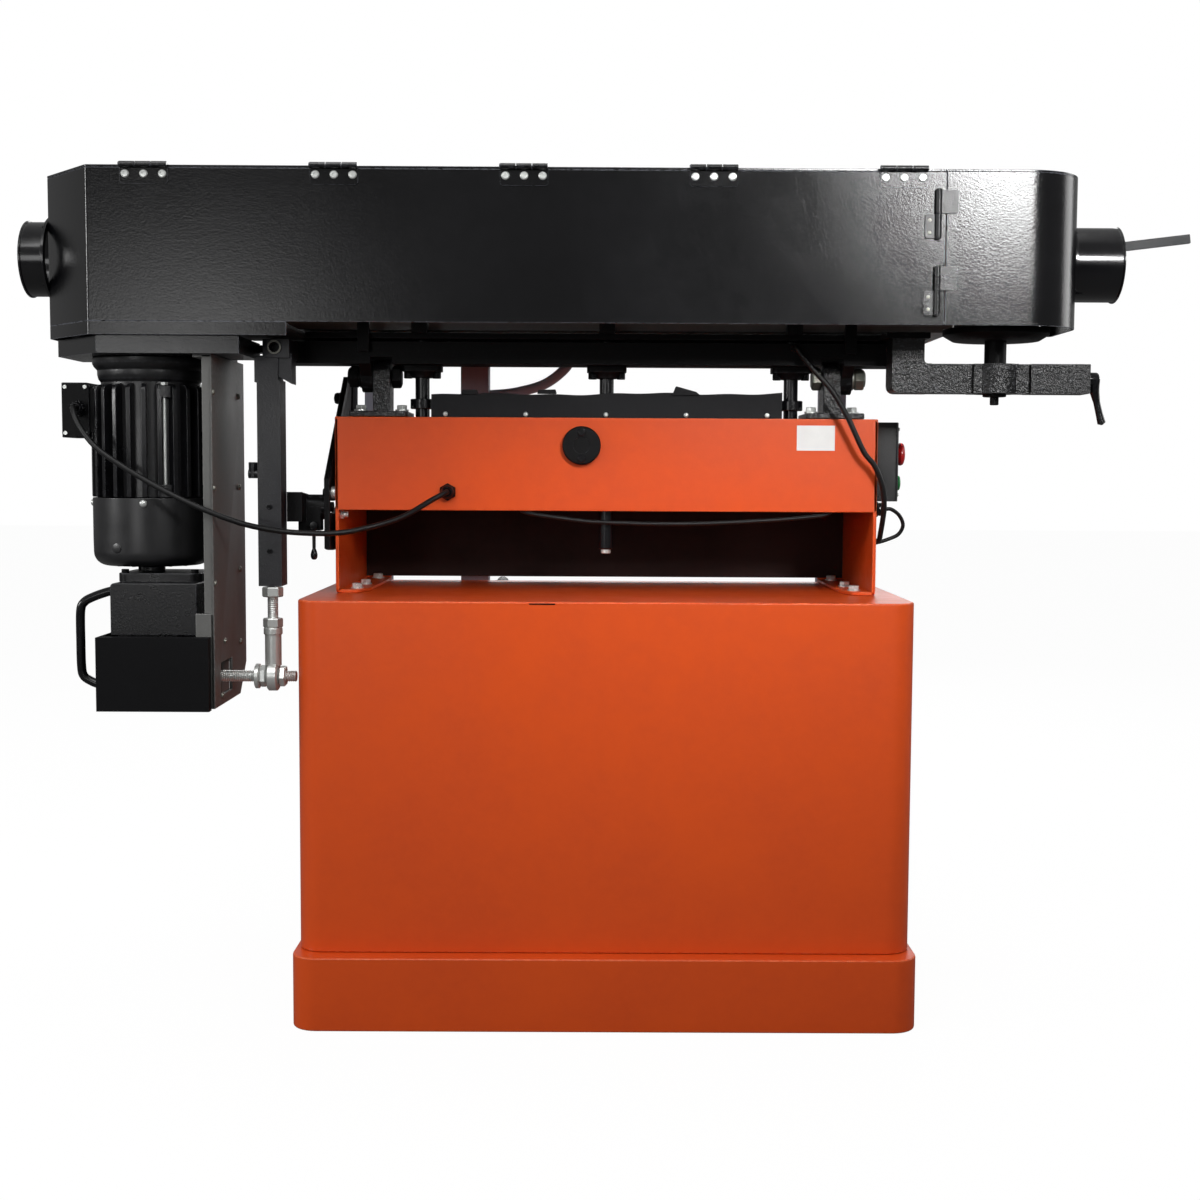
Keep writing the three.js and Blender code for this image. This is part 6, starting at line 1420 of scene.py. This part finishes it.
# The vents are near-black patches of painted shade on the cowl's face, not holes.
vent = push(plate_round(38, 58, -2, 2, 1.9, 4), "z", 618.9, 619.6)
build("cowl_vents", [moved(vent, about(MOTOR, 360 * place / VENTS)) for place in range(VENTS)],
      hole_shade_black, "head", edge=0)
bulge = spin("x", [(7, 78.7), (6.4, 79.5), (4.6, 79.9), (0.4, 80)], 0, 645, 32)
build("cowl_bulge", [moved(bulge, about(MOTOR, -112))], cowl_black, "head", edge=0)
print("cowl vents:", VENTS)

# %% Terminal box
build("terminal_box", [
    push(rounded([(-738, -168, 3), (-703, -168, 3), (-703, -104), (-738, -104, 3)], 4), "z", 793, 867),
    push(plate_round(-737, -700, 794, 866, 5, 5), "y", -170, -163),
    push([(-704, -166), (-690.5, -166), (-690.5, -104), (-704, -104)], "z", 800, 860),
], flat_black, "head", ["junction_box"], edge=0.9)
build(
    "terminal_gland", gland("y", -170, -1, -712, 832, 21.4, 8.5, 11.5), gloss_black, "head",
    edge=0.3
)
box_screws = [socket_screw("y", -170, -1, x, z, 2.6, 1.8) for z in (799, 861) for x in (-732, -705)]
build("terminal_screws", box_screws, zinc_steel, "head", edge=0.1)
print("terminal box done")

# %% [markdown]
# ## The spine and gearbox
# A folded column carries the small worm gearbox under the motor. It is a web plate
# with a window, folds along its edges and a doubler behind the window. The gearbox
# is a black-coated casting, with a sheet pan in front and a bent pull handle.

# %% Spine
spine_web = [(-237, 433), (-77, 433), (-35, 475), (-35, 901.2), (-237, 901.2)]
window = [(-200, 447), (-128, 447), (-128, 491), (-200, 491)]
slotted_plate(
    "spine_web_plate", spine_web, window, -521.5, 5, spine_sheen_grey, "head", "spine_column"
)
build("spine_folds", [
    slab(-532, -519.2, -237, -232, 560, 901), slab(-544, -519.2, -237, -232, 433, 560),
    slab(-532, -519.2, -40, -35, 475, 901), slab(-544, -519.2, -237, -35, 897, 901.2),
    slab(-545, -543, -90, -40, 433, 532), slab(-544, -519.2, -40, -35, 475, 532),
], spine_sheen_grey, "head", edge=1.0)
spine_places = ((-231, 852), (-76, 853), (-231, 726), (-76, 726), (-176, 518), (-76, 507), (-231, 600),
                (-76, 610), (-196, 446))
screw_profile = [(4.2, -519), (4.1, -518), (3.2, -516.4), (1.8, -515.8), (0.4, -515.7)]
build("spine_screws", [spin("x", screw_profile, *at, 24) for at in spine_places], dull_zinc, "head",
      edge=0)
print("column screws:", len(spine_places))

# %% Gearbox
build("gearbox_casting", [
    push(rounded([(-661, 529.7), (-545.6, 529.7), (-545.6, 599, 2), (-661, 599, 5)], 5), "y", -222, -90),
    push(plate_round(-659, -547, -196, -92, 14), "z", 598.8, 611),
    spin("z", [(16, 610.8), (16, 617), (14, 618.6), (12.6, 618.9), (12.6, 600)], *MOTOR, 48),
    slab(-655, -575, -207, -112, 440, 529.9),
    spin("x", [(16, -575.3), (16, -572.6), (14.6, -572), (8.6, -572), (8.6, -580)], *EYE, 40),
], black_coat, "head", ["gearbox_housing"], edge=1.2)
build("gearbox_bolts", [socket_screw("z", 611, 1, x, y, 5, 5) for y in (-186, -102) for x in (-650, -556)],
      flat_black, "head", edge=0.3)
dress("gearbox_cover", pan_black, edge=0.9)
grip_line = [
    (-661, -200, 588), (-672, -200, 585.5), (-690, -200, 579), (-702, -200, 572), (-707, -200, 560),
    (-707.5, -200, 520), (-707, -200, 484), (-704, -200, 472), (-694, -200, 465), (-684, -200, 461),
    (-673.4, -200, 458)
]
build(
    "bent_handle", [tube(smooth_line(grip_line, 60), 6, 24)], gloss_black, "head",
    ["pull_handle"], edge=0
)
print("gearbox and handle done")

# %% [markdown]
# ## Lid and end door
# The lid is a flat sheet that turns on five small hinges along its rear edge. The
# door wraps round the idler drum: one sheet with a large round corner, a flat top
# and a dust port. Both ride on hinge joints, so each has its own knuckles.

# %% Lid
LID_FOOT = 1138.3
LID_TOP = 1141.3
LID_FRONT = -42
lid_plan = rounded([
    (SEAM, COVER_REAR - 0.3, 2), (SEAM, LID_FRONT, 3), (COVER_LEFT, LID_FRONT, 3), (COVER_LEFT, -166, 5),
    (-674, COVER_REAR - 0.3, 5),
], 4)
lid_leaves = []
knuckle_root = [(-262, 1141.4), (-256.6, 1141.4), (-256.6, 1142.8), (-261.3, 1145)]
for middle in HINGES:
    low = middle - HINGE_LONG / 2 + 0.4
    high = middle + HINGE_LONG / 2 - 0.4
    lid_leaves.append(push(rounded([(low, -257), (high, -257), (high, -238, 4), (low, -238, 4)], 4),
                           "z", 1141.2, 1142.8))
    lid_leaves.append(push(knuckle_root, "x", low + third, high - third))
build("lid_sheet", [push(lid_plan, "z", LID_FOOT, LID_TOP), *lid_leaves, *lid_knuckles], head_coat, "lid",
      ["top_lid"], edge=0.5)
print("lid reaches", round(SEAM - COVER_LEFT), "mm")

# %% Door
DOOR_RIGHT = 624
DOOR_FRONT = -75
DOOR_WALL_TOP = 1138.4
door_near = SEAM + 0.7
door_plan = rounded([
    (door_near, COVER_REAR), (DOOR_RIGHT, COVER_REAR, 80), (DOOR_RIGHT, DOOR_FRONT, 6), (608, DOOR_FRONT),
], 24)
build("door_sheet", [
    push(ribbon(door_plan, 3), "z", COVER_FOOT, DOOR_WALL_TOP),
    push([*door_plan, (door_near, DOOR_FRONT)], "z", LID_FOOT, LID_TOP),
    slab(door_near, 608, DOOR_FRONT - 3, DOOR_FRONT, 1128, DOOR_WALL_TOP),
], head_coat, "door", ["end_door"], edge=0.7)
door_halves = []
for foot in DOOR_HINGES:
    top = foot + DOOR_HINGE_LONG
    door_halves.append(rod("z", 4, foot + UPPER_HALF, top, DOOR_AXIS, HINGE_Y, 24))
    door_halves.append(lift_off_half(foot + UPPER_HALF, top, 26))
    door_halves.append(spin("z", [(3, top - 0.6), (3, top + 1)], DOOR_AXIS, HINGE_Y, 20))
build("door_hinge_halves", door_halves, black_coat, "door", edge=0.35)
right_profile = [(47, 624.2), (57, 624.2), (57, 627.6), (56.4, 628), (50, 628), (50, 690), (51.6, 691),
                 (51.6, 692.4), (50.8, 693), (47.6, 693), (47, 692)]
dust_port("right", right_profile, 628, 1, "door")
catch_screw = [(4.4, 1142.9), (4.2, 1145.4), (3, 1146.6), (0.4, 1146.8)]
build("door_catch", [
    push(plate_round(566, 592, -168, -152, 2, 4), "z", 1141.2, 1143),
    *[spin("z", catch_screw, x, -160, 24) for x in (572, 586)],
], zinc_steel, "door", edge=0.3)
print("door sheet wraps", len(door_plan), "points")
